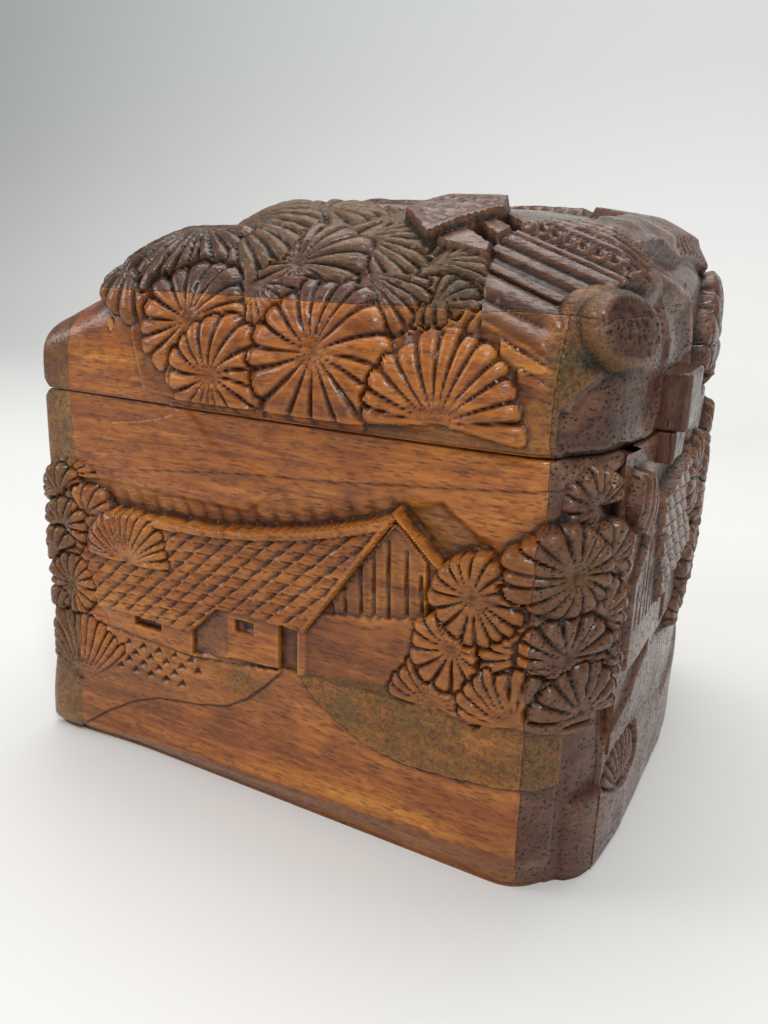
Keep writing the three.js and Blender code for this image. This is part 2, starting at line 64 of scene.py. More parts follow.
BASE_HIGH = span("base_board")[1]
CASE_TOP = span("front_wall")[1][2]
LID_BOTTOM = span("lid_front_wall")[0][2]
SEAM = (CASE_TOP + LID_BOTTOM) / 2
LEFT = span("lid_left_wall")[0][0]
JOINT_X = span("front_wall")[1][0]
INNER_Y = BASE_HIGH[1] + 0.1
FRONT = -INNER_Y - 12.5
BACK = -FRONT
RIGHT = 95.0
TOP_JOINT = span("lid_front_wall")[1][2]
CEILING = span("lid_top")[0][2]
HINGE_JOINT = next(j for j in frame["joints"] if j["name"] == "lid_hinge")
PIN = np.array(HINGE_JOINT["pos_m"]) / MM
GLUE = 0.05

# ---- Small numeric tools ------------------------------------------------------------


def smooth(low, high, value):
    t = np.clip((value - low) / (high - low), 0, 1)
    return t * t * (3 - 2 * t)


def mix(a, b, t):
    return a + (b - a) * t


def hashed(ix, iy, iz, seed):
    n = ix * 374761393 + iy * 668265263 + iz * 2147483647 + seed * 144665
    n = (n ^ (n >> 13)) * 1274126177
    n = n ^ (n >> 16)
    return (n & 0xFFFF) / 65535.0


def noise(points, size, seed=0):
    """Smooth value noise from -1 to 1 at points, with features of the given size."""
    p = np.asarray(points, float) / size
    cell = np.floor(p).astype(np.int64)
    f = p - cell
    f = f * f * (3 - 2 * f)
    total = 0
    for corner in range(8):
        d = np.array([corner & 1, corner >> 1 & 1, corner >> 2 & 1])
        weight = np.prod(np.where(d, f, 1 - f), axis=1)
        c = cell + d
        total = total + weight * hashed(c[:, 0], c[:, 1], c[:, 2], seed)
    return total * 2 - 1


def polygon_distance(u, v, outline):
    """Signed distance to a closed outline, negative inside it."""
    outline = np.asarray(outline, float)
    best = np.full(u.shape, 1e9)
    inside = np.zeros(u.shape, bool)
    for (x0, y0), (x1, y1) in zip(outline, np.roll(outline, -1, axis=0)):
        best = np.minimum(best, segment(u, v, x0, y0, x1, y1)[0])
        if y0 != y1:
            crossing = (v < y0) != (v < y1)
            inside ^= crossing & (u < (x1 - x0) * (v - y0) / (y1 - y0) + x0)
    return np.where(inside, -best, best)


def segment(u, v, x0, y0, x1, y1):
    """Distance to a segment, and the share of it at the nearest point."""
    dx, dy = x1 - x0, y1 - y0
    t = np.clip(((u - x0) * dx + (v - y0) * dy) / (dx * dx + dy * dy), 0, 1)
    return np.hypot(u - x0 - t * dx, v - y0 - t * dy), t


def line_distance(u, v, points):
    """Distance to an open line of points."""
    pairs = zip(points, points[1:])
    return np.min([segment(u, v, *a, *b)[0] for a, b in pairs], axis=0)


# ---- Base surfaces ------------------------------------------------------------------
# Plan of the box: the right end is cut back at both corners.
FRONT_EDGE = np.array([[LEFT, FRONT], [JOINT_X, FRONT], [91.5, -67], [RIGHT, -48]])
BACK_EDGE = np.array([[LEFT, BACK], [JOINT_X, BACK], [90, 62], [RIGHT, 30]])
# The dome's ridge line: x and height.
RIDGE = np.array([
    [LEFT, 147], [-84, 151], [-74, 156], [-64, 163.5], [-54, 171], [-44, 176], [-32, 180],
    [-16, 183], [0, 182.5], [20, 181.5], [45, 181], [62, 179.5], [78, 177], [88, 172], [RIGHT, 162],
])
RIDGE_Y = 0.0


def eased_corner(before, corner, after, ease):
    """Nine points of the curve that rounds off a corner, from ease before it to ease after it."""
    start = corner + (before - corner) / np.linalg.norm(before - corner) * ease
    end = corner + (after - corner) / np.linalg.norm(after - corner) * ease
    t = np.linspace(0, 1, 9)[:, None]
    return (1 - t) ** 2 * start + 2 * t * (1 - t) * corner + t * t * end


CORNERS = np.vstack([FRONT_EDGE, BACK_EDGE[::-1]])
EASE = [2.5, 7, 11, 14, 18, 12, 7, 2.5]
EASED = [eased_corner(CORNERS[k - 1], CORNERS[k], CORNERS[(k + 1) % 8], EASE[k]) for k in range(8)]
FRONT_CURVE = np.vstack([FRONT_EDGE[:1], *EASED[1:4]])
BACK_CURVE = np.vstack([BACK_EDGE[:1], *[e[::-1] for e in EASED[6:3:-1]]])


def rounded_plan():
    """Points round the plan, anticlockwise from the front left, with eased corners."""
    line = np.vstack(EASED)
    closed = np.vstack([line, line[:1]])
    lengths = np.concatenate([[0], np.cumsum(np.linalg.norm(np.diff(closed, axis=0), axis=1))])
    count = int(lengths[-1] / STEP)
    at = np.linspace(0, lengths[-1], count, endpoint=False)
    points = np.stack([np.interp(at, lengths, closed[:, k]) for k in (0, 1)], axis=1)
    tangent = np.roll(points, -1, axis=0) - np.roll(points, 1, axis=0)
    for _ in range(int(3 / STEP)):
        tangent = (np.roll(tangent, 1, axis=0) + 2 * tangent + np.roll(tangent, -1, axis=0)) / 4
    normal = np.stack([tangent[:, 1], -tangent[:, 0]], axis=1)
    return points, normal / np.linalg.norm(normal, axis=1, keepdims=True)


def case_surface():
    """Base points and normals of the case's outside: rows of heights round the plan."""
    plan, normal = rounded_plan()
    heights = np.arange(0, SEAM + 3, STEP)
    rows, count = len(heights), len(plan)
    points = np.empty((rows, count, 3))
    points[..., :2] = plan
    points[..., 2] = heights[:, None]
    normals = np.zeros((rows, count, 3))
    normals[..., :2] = normal
    return points, normals


def dome_field(p):
    """Negative inside the lid's dome, zero on it."""
    x, y, z = p[..., 0], p[..., 1], p[..., 2]
    ridge = np.interp(x, RIDGE[:, 0], RIDGE[:, 1])
    depth_front = RIDGE_Y - np.interp(x, FRONT_CURVE[:, 0], FRONT_CURVE[:, 1])
    depth_back = np.interp(x, BACK_CURVE[:, 0], BACK_CURVE[:, 1]) - RIDGE_Y
    fullness = mix(5.0, 2.6, smooth(-75, -30, x))
    across = np.abs(y - RIDGE_Y) / np.where(y < RIDGE_Y, depth_front, depth_back)
    up = np.maximum(z - SEAM, 0) / (ridge - SEAM)
    body = (across ** fullness + up ** fullness) ** (1 / fullness) - 1
    left = (LEFT - x) / 60
    right = (x - RIGHT) / 60
    k = 80
    return np.log(np.exp(k * body) + np.exp(k * left) + np.exp(k * right)) / k


def lid_surface():
    """Base points, normals and quads of the lid's outside: a gridded box, blown to the dome."""
    half_x, half_y, rise = (RIGHT - LEFT) / 2, BACK, 52.0
    cx = (RIGHT + LEFT) / 2
    nx, ny = int(2 * half_x / STEP), int(2 * half_y / STEP)
    side_rows = int(36 / STEP)
    skirt = int(3 / STEP)
    xs, ys = np.linspace(-1, 1, nx + 1), np.linspace(-1, 1, ny + 1)
    ring = np.array(
        [(x, -1) for x in xs[:-1]] + [(1, y) for y in ys[:-1]]
        + [(x, 1) for x in xs[:0:-1]] + [(-1, y) for y in ys[:0:-1]]
    )
    count = len(ring)
    levels = np.concatenate([-np.arange(skirt, 0, -1) * STEP, np.linspace(0, 1, side_rows + 1)])
    box_points, drops = [], []
    for level in levels:
        share = max(level, 0)
        box_points.append(np.column_stack([ring, np.full(count, share)]))
        drops.append(np.full(count, min(level, 0)))
    inner_x, inner_y = np.meshgrid(xs[1:-1], ys[1:-1], indexing="ij")
    top = np.column_stack([inner_x.ravel(), inner_y.ravel(), np.ones(inner_x.size)])
    box_points = np.vstack(box_points + [top])
    drops = np.concatenate(drops + [np.zeros(len(top))])
    ray = box_points * np.array([half_x, half_y, rise * 0.75])
    origin = np.array([cx, 0.0, SEAM])
    low, high = np.full(len(ray), 0.3), np.full(len(ray), 1.6)
    for _ in range(22):
        middle = (low + high) / 2
        outside = dome_field(origin + ray * middle[:, None]) > 0
        high = np.where(outside, middle, high)
        low = np.where(outside, low, middle)
    points = origin + ray * low[:, None]
    # Outward normals from the field's slope, flat along the skirt below the seam.
    slope = np.stack([
        dome_field(points + axis * 0.8) - dome_field(points - axis * 0.8) for axis in np.eye(3)
    ], axis=1)
    slope[points[:, 2] < SEAM + 1.5, 2] = 0
    normals = slope / np.linalg.norm(slope, axis=1, keepdims=True)
    points[:, 2] += drops
    rows = len(levels)
    start = np.arange(rows * count).reshape(rows, count)
    a, b = start[:-1], np.roll(start, -1, axis=1)[:-1]
    c, d = np.roll(start, -1, axis=1)[1:], start[1:]
    quads = [np.stack([a, b, c, d], axis=-1).reshape(-1, 4)]
    cap = np.empty((nx + 1, ny + 1), int)
    rim = start[-1]
    cap[:nx, 0] = rim[:nx]
    cap[nx, :ny] = rim[nx:nx + ny]
    cap[nx:0:-1, ny] = rim[nx + ny:2 * nx + ny]
    cap[0, ny:0:-1] = rim[2 * nx + ny:]
    cap[1:-1, 1:-1] = rows * count + np.arange((nx - 1) * (ny - 1)).reshape(nx - 1, ny - 1)
    quads.append(np.stack([cap[:-1, :-1], cap[1:, :-1], cap[1:, 1:], cap[:-1, 1:]], -1).reshape(-1, 4))
    return points, normals, np.vstack(quads), start[0][::-1]


# ---- Relief -------------------------------------------------------------------------


class Relief:
    """Heights carved on a surface, with the stain that collects in them, the painted shade laid in their
    cuts and under raised forms, and the moss.
    """

    def __init__(self, points, normals):
        self.p, self.n = points, normals
        self.h = np.zeros(len(points))
        # This field holds real stain in the cuts and also painted shade: rim cuts, gaps between leaves,
        # bands under raised forms.
        self.stain = np.zeros(len(points))
        self.moss = np.zeros(len(points))
        self.tint = np.zeros(len(points))

    def near(self, centre, outward, reach):
        """Indices of points near a centre that face outward, and their place in its plane."""
        w = np.asarray(outward, float)
        w = w / np.linalg.norm(w)
        u = np.cross([0, 0, 1], w)
        u = u / np.linalg.norm(u)
        v = np.cross(w, u)
        offset = self.p - centre
        close = (np.einsum("ij,ij->i", offset, offset) < reach ** 2) & (self.n @ w > 0.3)
        index = np.nonzero(close)[0]
        return index, offset[index] @ u, offset[index] @ v

    def face(self, outward, limit=0.45):
        """Indices of the points on one side of the box, with u along it and z."""
        w = np.asarray(outward, float)
        w = w / np.linalg.norm(w)
        index = np.nonzero(self.n @ w > limit)[0]
        u = np.cross([0, 0, 1], w)
        return index, self.p[index] @ (u / np.linalg.norm(u)), self.p[index][:, 2]

    def cover(self, index, height, share, stain=None, moss=None, tint=None, over=False):
        """Lays a carved form over what is there; share is 1 where it covers."""
        old = self.h[index]
        wins = share if over else share * smooth(-0.25, 0.25, height - old)
        self.h[index] = mix(old, height, wins)
        for name, value in (("stain", stain), ("moss", moss), ("tint", tint)):
            if value is not None:
                field = getattr(self, name)
                field[index] = mix(field[index], value, wins)

    def raise_area(self, u, v, index, outline, height, edge=0.7, **looks):
        distance = polygon_distance(u, v, outline)
        self.cover(index, height, smooth(edge, -edge * 0.3, distance), over=True, **looks)
        return distance

    def cut(self, index, distance, wide, deep, dark=0.9):
        """A V-groove where distance is small."""
        depth = np.clip(1 - distance / (wide / 2), 0, 1)
        self.h[index] -= deep * depth
        self.stain[index] = np.maximum(self.stain[index], dark * smooth(0.1, 0.9, depth))


def leaf(relief, centre, outward, radius, start=0, sweep=360, lift=2.6, lobes=None, tall=1.0,
         lean=0.0, lean_to=-90, bend=0.3, tint=0.0, moss=0.0, crown=1.6, groove=1.8, seed=None):
    """A palm leaf: one crowned shell, fluted by grooves that fan out of its hub.

    The hub sits off the middle, so the ribs towards lean_to (degrees) are longer by lean.
    """
    seed = int(abs(centre[0] * 7 + centre[1] * 3 + centre[2] * 13)) if seed is None else seed
    rng = np.random.default_rng(seed)
    index, u, v = relief.near(centre, outward, radius * (1.25 + lean))
    v = v / tall
    r = np.hypot(u, v)
    heading = np.degrees(np.arctan2(v, u))
    rim = radius * (1 + lean * np.cos(np.radians(heading - lean_to)))
    angle = heading - start + bend * 20 * (r / rim) ** 1.4
    angle = (angle + 180 - sweep / 2) % 360 - (180 - sweep / 2)
    count = lobes or max(6, round(sweep / 360 * (9 + 0.42 * radius)))
    widths = rng.uniform(0.74, 1.26, count)
    edges = np.concatenate([[0], np.cumsum(widths)]) / widths.sum() * sweep
    rib = np.clip(np.searchsorted(edges, angle, side="right") - 1, 0, count - 1)
    middle = (edges[rib] + edges[rib + 1]) / 2
    half = (edges[rib + 1] - edges[rib]) / 2
    across = np.clip(np.abs(angle - middle) / half, 0, 1.3)
    longer = rng.uniform(0.93, 1.05, count)[rib]
    reach = rim * longer * (1 - 0.055 * np.minimum(across, 1) ** 3)
    share = r / reach
    # The crown: low at the hub, fullest two thirds out, turned down at the rim.
    swell = np.sin(np.clip(share, 0, 1) ** 0.8 * math.pi * 0.80)
    raised = rng.uniform(-0.28, 0.30, count)[rib]
    body = lift + crown * (swell - 0.55) + raised * share - 1.0 * smooth(0.86, 1.0, share)
    # Each rib has a round back with a steeper side, and a V between neighbours.
    skew = np.clip((angle - middle) / half, -1, 1) * 0.34 * share
    valley = np.minimum(np.radians(half) * r, groove) * np.minimum(across, 1) ** 3.4
    height = body - valley + skew
    grainy = noise(np.column_stack([angle * 0.55, r * 0.3, np.full(len(r), seed % 97)]), 1.0, seed)
    height = height + 0.12 * grainy * smooth(0, 0.4, share)
    cover = smooth(0.30, -0.30, r - reach)
    beyond = np.abs(angle - sweep / 2) - sweep / 2
    if sweep < 360:
        cover = cover * smooth(0.45, -0.15, np.radians(np.maximum(beyond, 0)) * (r + 1.5))
    room = np.radians(half) * r  # half of the rib's width here, in millimetres
    dark = smooth(0.52, 0.96, across) * smooth(0.2, 0.9, room) + 0.4 * (1 - smooth(0.02, 0.2, share))
    # A cut round the rim sets the leaf off from what lies under it, and painted shade darkens the cut.
    ring = smooth(1.5, 0.1, r - reach) * (r > reach) * smooth(1.0, -0.5, np.radians(beyond) * (r + 1.5))
    old = relief.h[index]
    relief.h[index] = mix(old, np.minimum(old, max(lift - 2.2, 0.0)), ring)
    relief.stain[index] = np.maximum(relief.stain[index], 0.75 * ring * (old > 0.6))
    relief.cover(index, height, cover, over=True, stain=np.clip(dark, 0, 1), moss=moss, tint=tint)


# ---- The case's carving -------------------------------------------------------------
AHEAD, RIGHTWARD = (0, -1, 0), (1, 0, 0)
BACKWARD, LEFTWARD = (0, 1, 0), (-1, 0, 0)
CORNER_OUT = (0.778, -0.628, 0)

ROOF = [
    (-80, 52), (-30, 52), (-19, 62.6), (12, 63), (40, 103.4), (33, 100.3), (25, 97.6), (11, 93.6),
    (-4, 90.6), (-20, 88.4), (-36, 87.5), (-60, 86), (-80, 80),
]
PATH_LEFT = [
    (4, 47), (-2, 40.5), (-9, 34), (-17, 29), (-30, 25.8), (-45, 23.5), (-56, 19), (-67, 12.5),
    (-79, 4), (-84, -2),
]
PATH_RIGHT = [
    (11, 47.5), (13.5, 43.5), (20, 38.5), (30, 33.2), (38, 31), (46, 30), (60, 30.6), (79, 33),
]


def tiles(u, v, pitch=3.3):
    """Lozenge tiles: low steps down the roof, crossed by slanted, lens-shaped notches."""
    row = (v - 0.12 * u) / pitch
    down = row - np.floor(row)
    slant = (u * 0.92 - v) / (pitch * 1.75)
    beside = slant - np.floor(slant)
    notch = smooth(0.42, 0.95, beside) * smooth(1.0, 0.97, beside) * np.sin(math.pi * down) ** 0.5
    seam = smooth(0.80, 0.98, down)
    height = 0.45 * (1 - down) + 0.15 - 0.95 * notch - 0.25 * seam
    return height, np.clip(notch * 0.85 + seam * 0.5, 0, 1)


def carve_front(relief):
    index, u, z = relief.face(AHEAD, 0.6)
    p = relief.p[index]
    # Rolling sky: broad, shallow facets, and a hill behind the cottage.
    relief.h[index] += 0.35 * noise(p * [1, 1, 2.2], 26, 3)
    hill = [(-79, 96), (-72, 101), (-61, 115), (-48, 116.8), (-38, 119.6), (-31, 124), (-24, 116),
            (-16, 110), (4, 106), (-10, 95)]
    relief.raise_area(u, z, index, hill, relief.h[index] + 0.55, edge=0.9)
    horizon = [(-80, 99.5), (-58, 100.3), (-10, 106), (12, 107.5), (40, 110.5), (79, 115), (95, 117)]
    level = np.interp(u, *np.array(horizon).T)
    below = smooth(0.5, -0.5, z - level) * smooth(-84, -76, u)
    relief.h[index] -= 0.5 * below
    crack = np.abs(z - level - 0.3) + 2.0 * smooth(-50, -62, u)
    relief.cut(index, crack, 1.1, 0.5)
    # The ground cut away behind the roof, with the gouge marks left in it.
    ridge = np.interp(u, [-80, -60, -36, -20, -4, 11, 25, 33, 40, 56, 80],
                      [84, 87, 87.5, 88.4, 90.6, 93.6, 97.6, 100.3, 103.4, 92, 86])
    behind = smooth(12, 1, z - ridge) * smooth(-2, 0, z - ridge) * smooth(-82, -70, u)
    gouge = np.abs(np.sin(math.pi * (u + 0.25 * (z - ridge)) / 6.4)) * smooth(11, 6, z - ridge)
    relief.h[index] -= behind * (2.0 - 0.8 * gouge * smooth(42, 36, u))
    relief.stain[index] = np.maximum(relief.stain[index], behind * (0.42 - 0.2 * gouge))
    pit = polygon_distance(u, z, [(40, 104), (52, 108), (66, 98), (55, 89), (47, 94)])
    relief.cover(index, -2.6, smooth(1.5, -1.5, pit) * 0.7, over=True, stain=0.7)
    carve_ground(relief, index, u, z, p)
    carve_cottage(relief, index, u, z)


def carve_ground(relief, index, u, z, p):
    """Banks on both sides of a path that widens towards the foot."""
    foot = [(-99, -5), (110, -5), (110, 46), (60, 50), (11, 49), (4, 49), (-80, 53), (-99, 53)]
    flare = 1.3 + 0.5 * smooth(40, 5, z) + 2.2 * smooth(-50, -90, u) * smooth(34, 8, z)
    relief.raise_area(u, z, index, foot, flare, edge=1.2)
    left_bank = PATH_LEFT + [(-99, -2), (-99, 50), (-66, 46), (-30, 44), (-8, 45.5)]
    rough = 0.12 * noise(p, 2.0, 5)
    relief.raise_area(u, z, index, left_bank, flare + 0.8 + rough, edge=0.6, moss=0.18)
    green = smooth(13, 4, np.hypot((u + 11) * 0.8, (z - 39) * 1.4))
    relief.moss[index] = np.maximum(relief.moss[index], 0.85 * green)
    right_bank = PATH_RIGHT + [(98, 36), (98, 54), (46, 54), (13, 49.5)]
    pocks = 0.35 * noise(p, 1.5, 8) + 0.25 * noise(p, 0.9, 9)
    relief.raise_area(u, z, index, right_bank, flare + 1.3 + pocks, edge=0.6, moss=0.75)
    relief.cut(index, line_distance(u, z, PATH_LEFT), 1.5, 0.8)
    relief.cut(index, line_distance(u, z, PATH_RIGHT), 1.6, 0.9)
    relief.cut(index, line_distance(u, z, [(-72, 44.5), (-30, 42.6), (-10, 45.2), (6, 48.4)]), 2.0, 0.9, 0.6)
    # Rows of small wedge cuts in the field.
    for row in range(4):
        for k in range(6 - row // 2):
            x0, z0 = -64 + k * 6.6 + 3.1 * (row % 2), 41 - row * 3.1 + 0.12 * k
            corners = [(x0 - 1.5, z0 - 1.1), (x0 + 1.6, z0 - 0.7), (x0 + 0.2, z0 + 1.2)]
            wedge = polygon_distance(u, z, corners)
            share = smooth(0.6, -0.5, wedge)
            relief.cover(index, relief.h[index] - 1.0, share, over=True, stain=0.85)
            lip = smooth(1.3, 0.2, np.abs(wedge - 1.2)) * (z < z0)
            relief.h[index] += 0.3 * lip
    # Worn, darker bevel round the foot, taller towards the right.
    bevel = np.interp(u, [-90, -70, 78], [4.0, 4.5, 11.0])
    relief.h[index] -= 2.2 * smooth(1.1, 0.2, z / bevel)
    relief.tint[index] = np.maximum(relief.tint[index], 0.9 * smooth(1.05, 0.92, z / bevel))
    relief.stain[index] = np.maximum(relief.stain[index], 0.4 * smooth(1.5, 0.2, np.abs(z - bevel)))


def carve_cottage(relief, index, u, z):
    wall = [(-15.5, 47), (-15.5, 63), (12, 63.5), (12, 48), (4, 48)]
    relief.raise_area(u, z, index, [(-66, 44.5), (-66, 53), (-30, 53), (-30, 44)], 1.5, edge=0.5)
    relief.raise_area(u, z, index, wall, 2.3, edge=0.5)
    # Painted shade: the lean-to's angled end wall is drawn darker, as a wall turned away from the light.
    end_wall = [(-30, 44), (-30, 54), (-19, 63), (-15.5, 63), (-15.5, 46.5)]
    relief.raise_area(u, z, index, end_wall, mix(0.2, 2.3, (u + 30) / 14.5), edge=0.4, stain=0.7)
    gable = [(12.5, 62), (40, 101), (47.5, 94), (50, 76), (48, 50), (12.5, 48.5)]
    relief.raise_area(u, z, index, gable, 1.9, edge=0.5, stain=0.36)
    siding = [(17, 69.5), (30, 71.2), (49, 75), (49, 92), (40, 100)]
    relief.raise_area(u, z, index, siding, 1.0, edge=0.35, stain=0.66)
    for x0, low, high in ((21, 70.5, 73), (25, 71.5, 80), (30, 72.5, 87), (34, 73, 92.5),
                          (38.5, 73.5, 95), (44, 75, 93), (48.5, 76.5, 87)):
        board_gap, _ = segment(u, z, x0, low, x0 - 0.8, high)
        relief.cut(index, board_gap, 1.7, 1.1, 0.95)
    def hole(x0, x1, z0, z1, depth, dark):
        corners = [(x0, z0), (x1, z0 + 0.3), (x1, z1 + 0.3), (x0, z1)]
        relief.raise_area(u, z, index, corners, depth, edge=0.35, stain=dark)
    hole(-54, -43.6, 48, 51, -0.6, 1.0)  # slot window in the lean-to
    hole(-12.6, -6, 56.2, 60, 0.9, 0.8)
    hole(-10.4, -6.6, 57, 59.4, 0.0, 1.0)
    hole(3.6, 9.6, 48, 62.6, 0.2, 0.75)  # doorway
    hole(10.2, 12.8, 48.4, 63, 2.6, 0.05)  # door post
    # Roof, standing furthest out at its eaves.
    rise, dark = tiles(u, z)
    eave = 3.3 - 1.1 * smooth(55, 100, z) + 0.5 * smooth(-20, 20, u)
    wobble = 0.25 * noise(np.column_stack([u, z, u * 0]), 9, 11)
    distance = polygon_distance(u, z, ROOF)
    share = smooth(0.45, -0.25, distance)
    relief.cover(index, eave + rise + wobble, share, over=True, stain=dark * 0.85, tint=0.15)
    for x0, z0, x1, z1, lift in ((12.2, 63.4, 40.4, 104, 3.9), (40.2, 103.2, 56, 88.5, 2.6)):
        barge, _ = segment(u, z, x0, z0, x1, z1)
        relief.cover(index, lift, smooth(1.1, 0.6, barge), over=True, stain=0.0)
    # A smooth band under the ridge, with a row of round knots on it.
    ridge = [(-42, 86.0), (-36, 86.2), (-20, 87.1), (-4, 89.3), (11, 92.3), (25, 96.2), (33, 98.9),
             (38, 101)]
    band = line_distance(u, z, ridge)
    relief.cover(index, 4.1, smooth(1.7, 1.3, band), over=True, stain=0.0, tint=0.0)
    relief.cut(index, np.abs(band - 1.6), 0.8, 0.3, 0.5)
    for k in range(9):
        x0 = -32 + k * 7.9
        knot = np.hypot(u - x0, z - np.interp(x0, *np.array(ridge).T))
        relief.cover(index, 5.0 - 0.4 * knot ** 2, smooth(1.3, 0.9, knot), over=True, stain=0.0, tint=0.0)
        relief.stain[index] = np.maximum(relief.stain[index], 0.8 * smooth(0.6, 0.1, np.abs(knot - 1.4)))


def front_leaves(relief):
    def front(x, z, *args, **kw):
        leaf(relief, (x, FRONT, z), AHEAD, *args, **kw)

    def corner(x, y, z, *args, **kw):
        leaf(relief, (x, y, z), CORNER_OUT, *args, **kw)

    front(-80, 95.5, 11, 0, 180, lift=1.6, tall=0.5, tint=0.3)
    front(-85, 88, 11, lift=2.4, tint=0.3)
    front(-74, 82.5, 11, 10, 170, lift=2.0, tint=0.25)
    front(-84, 77, 10.5, lift=2.8, tint=0.2)
    front(-54.5, 70.5, 18, 0, 180, lift=4.3, lobes=15, bend=0.0, tint=0.12, crown=2.2)
    front(-88, 66, 10.5, lift=3.0, tint=0.25)
    front(-81, 57, 11, lift=2.8, tint=0.25)
    front(-89, 44, 10.5, 60, 230, lift=3.0, tint=0.25)
    front(-80, 20.5, 26, 28, 118, lift=2.7, lobes=13, bend=-0.45, tint=0.08, crown=1.6)
    # Right cluster, which turns the corner.
    corner(90.0, -72.0, 111, 10, 0, 270, lift=2.0, tint=0.8)
    corner(91.0, -71.0, 81, 12, lift=3.6, tint=0.7)
    corner(91.5, -70.0, 66, 11, lift=3.6, tint=0.7)
    front(53.5, 51.5, 13.5, -8, 196, lift=3.0, lobes=13, tint=0.35, moss=0.15)
    front(58.5, 70.0, 12.5, lift=3.6, lean=0.12, tint=0.3, moss=0.1)
    front(78, 73.5, 13.5, lift=3.4, tint=0.45, moss=0.15)
    corner(85.5, -77.5, 72, 12.5, lift=4.2, lean=0.15, lean_to=0, tint=0.6)
    front(76, 52.0, 16, -8, 196, lift=4.4, lobes=14, tint=0.4, moss=0.15, crown=2.0)
    corner(89.0, -73.0, 55, 14, -10, 200, lift=4.2, tint=0.6, moss=0.1)
    front(63.5, 86.0, 12.5, lift=4.4, lobes=16, lean=0.08, tint=0.35, moss=0.25)
    corner(85.5, -77.7, 95.0, 12.5, lift=5.2, lobes=16, lean=0.1, lean_to=180, tint=0.7, moss=0.2, crown=2.0)


def carve_right(relief):
    """The right end: a second cottage among hills and leaves."""
    index, y, z = relief.face(RIGHTWARD, 0.78)
    p = relief.p[index]
    relief.h[index] += 0.8 * noise(p * [1, 1, 1.4], 24, 31)
    # A dark scoop under the seam, beside the corner.
    scoop = np.hypot((y + 56) / 13, (z - 112) / 8)
    relief.cover(index, -2.4, smooth(1.1, 0.7, scoop), over=True, stain=0.75)
    for outline, lift in (
        ([(-60, 40), (-20, 54), (20, 44), (60, 52), (70, 20), (-60, 12)], 1.6),
        ([(-70, 24), (-30, 33), (10, 22), (60, 30), (60, -4), (-70, -4)], 2.8),
        ([(0, 124), (12, 108), (34, 114), (60, 104), (70, 124)], 1.5),
    ):
        relief.raise_area(y, z, index, outline, lift + 0.3 * noise(p, 8, 33), edge=1.6)
    relief.raise_area(y, z, index, [(-50, 58), (-50, 84), (-34, 103), (-20, 86), (-20, 58)], 2.0, edge=0.5)
    for k in range(7):
        gap, _ = segment(y, z, -47 + 4 * k, 70, -46.5 + 4 * k, 100 - abs(k - 3) * 6)
        relief.cut(index, gap, 1.3, 0.9)
    rise, dark = tiles(-y, z, 4.6)
    slope = [(-24, 70), (-35, 104), (8, 110), (20, 76)]
    distance = polygon_distance(y, z, slope)
    relief.cover(index, 3.6 + rise, smooth(0.5, -0.3, distance), over=True, stain=dark, tint=1.0)
    relief.raise_area(y, z, index, [(-22, 54), (-22, 71), (16, 76), (14, 56)], 1.6, edge=0.5)
    relief.raise_area(y, z, index, [(-8, 57), (-8, 67), (-1, 68), (-1, 57)], -0.4, edge=0.4, stain=1)

    relief.h[index] *= smooth(0.78, 0.93, relief.n[index][:, 0])  # dies away before the corners

    def right(y0, z0, *args, **kw):
        leaf(relief, (RIGHT, y0, z0), RIGHTWARD, *args, **kw)

    grooved_oval(relief, -52, 108)
    right(-44, 18, 17, 10, 150, lift=1.6, lobes=11, tint=0.1)
    right(-68, 96, 11, lift=3.4, lobes=12, tint=0.8)
    right(16, 100, 14, lift=4.0, lobes=14, tint=0.8)
    right(38, 92, 16, lift=5.2, lobes=15, tint=0.7)
    right(54, 72, 15, lift=5.2, lobes=14, tint=0.8)
    right(30, 66, 14, lift=4.6, lobes=13, tint=0.8)
    right(52, 106, 14, lift=4.8, lobes=13, tint=0.6)
    right(48, 50, 14, 0, 190, lift=4.2, lobes=12, tint=0.7)
    right(24, 48, 13, 0, 190, lift=3.6, lobes=11, tint=0.7)


def grooved_oval(relief, y0, z0):
    """A smooth oval leaf with a few slanted grooves, just under the seam by the corner."""
    index, y, z = relief.face(RIGHTWARD, 0.70)
    a = (y - y0) * 0.94 + (z - z0) * 0.34
    b = (z - z0) * 0.94 - (y - y0) * 0.34
    oval = np.hypot(a / 6.5, b / 9.5)
    lines = smooth(0.35, 0.0, np.abs(((a * 0.75 - b * 0.35) / 2.6) % 1.0 - 0.5))
    height = 3.2 + 2.0 * np.sqrt(np.clip(1 - oval ** 2, 0, 1)) - 0.8 * lines
    relief.cover(index, height, smooth(1.03, 0.95, oval), over=True, stain=lines * 0.7, tint=0.0)


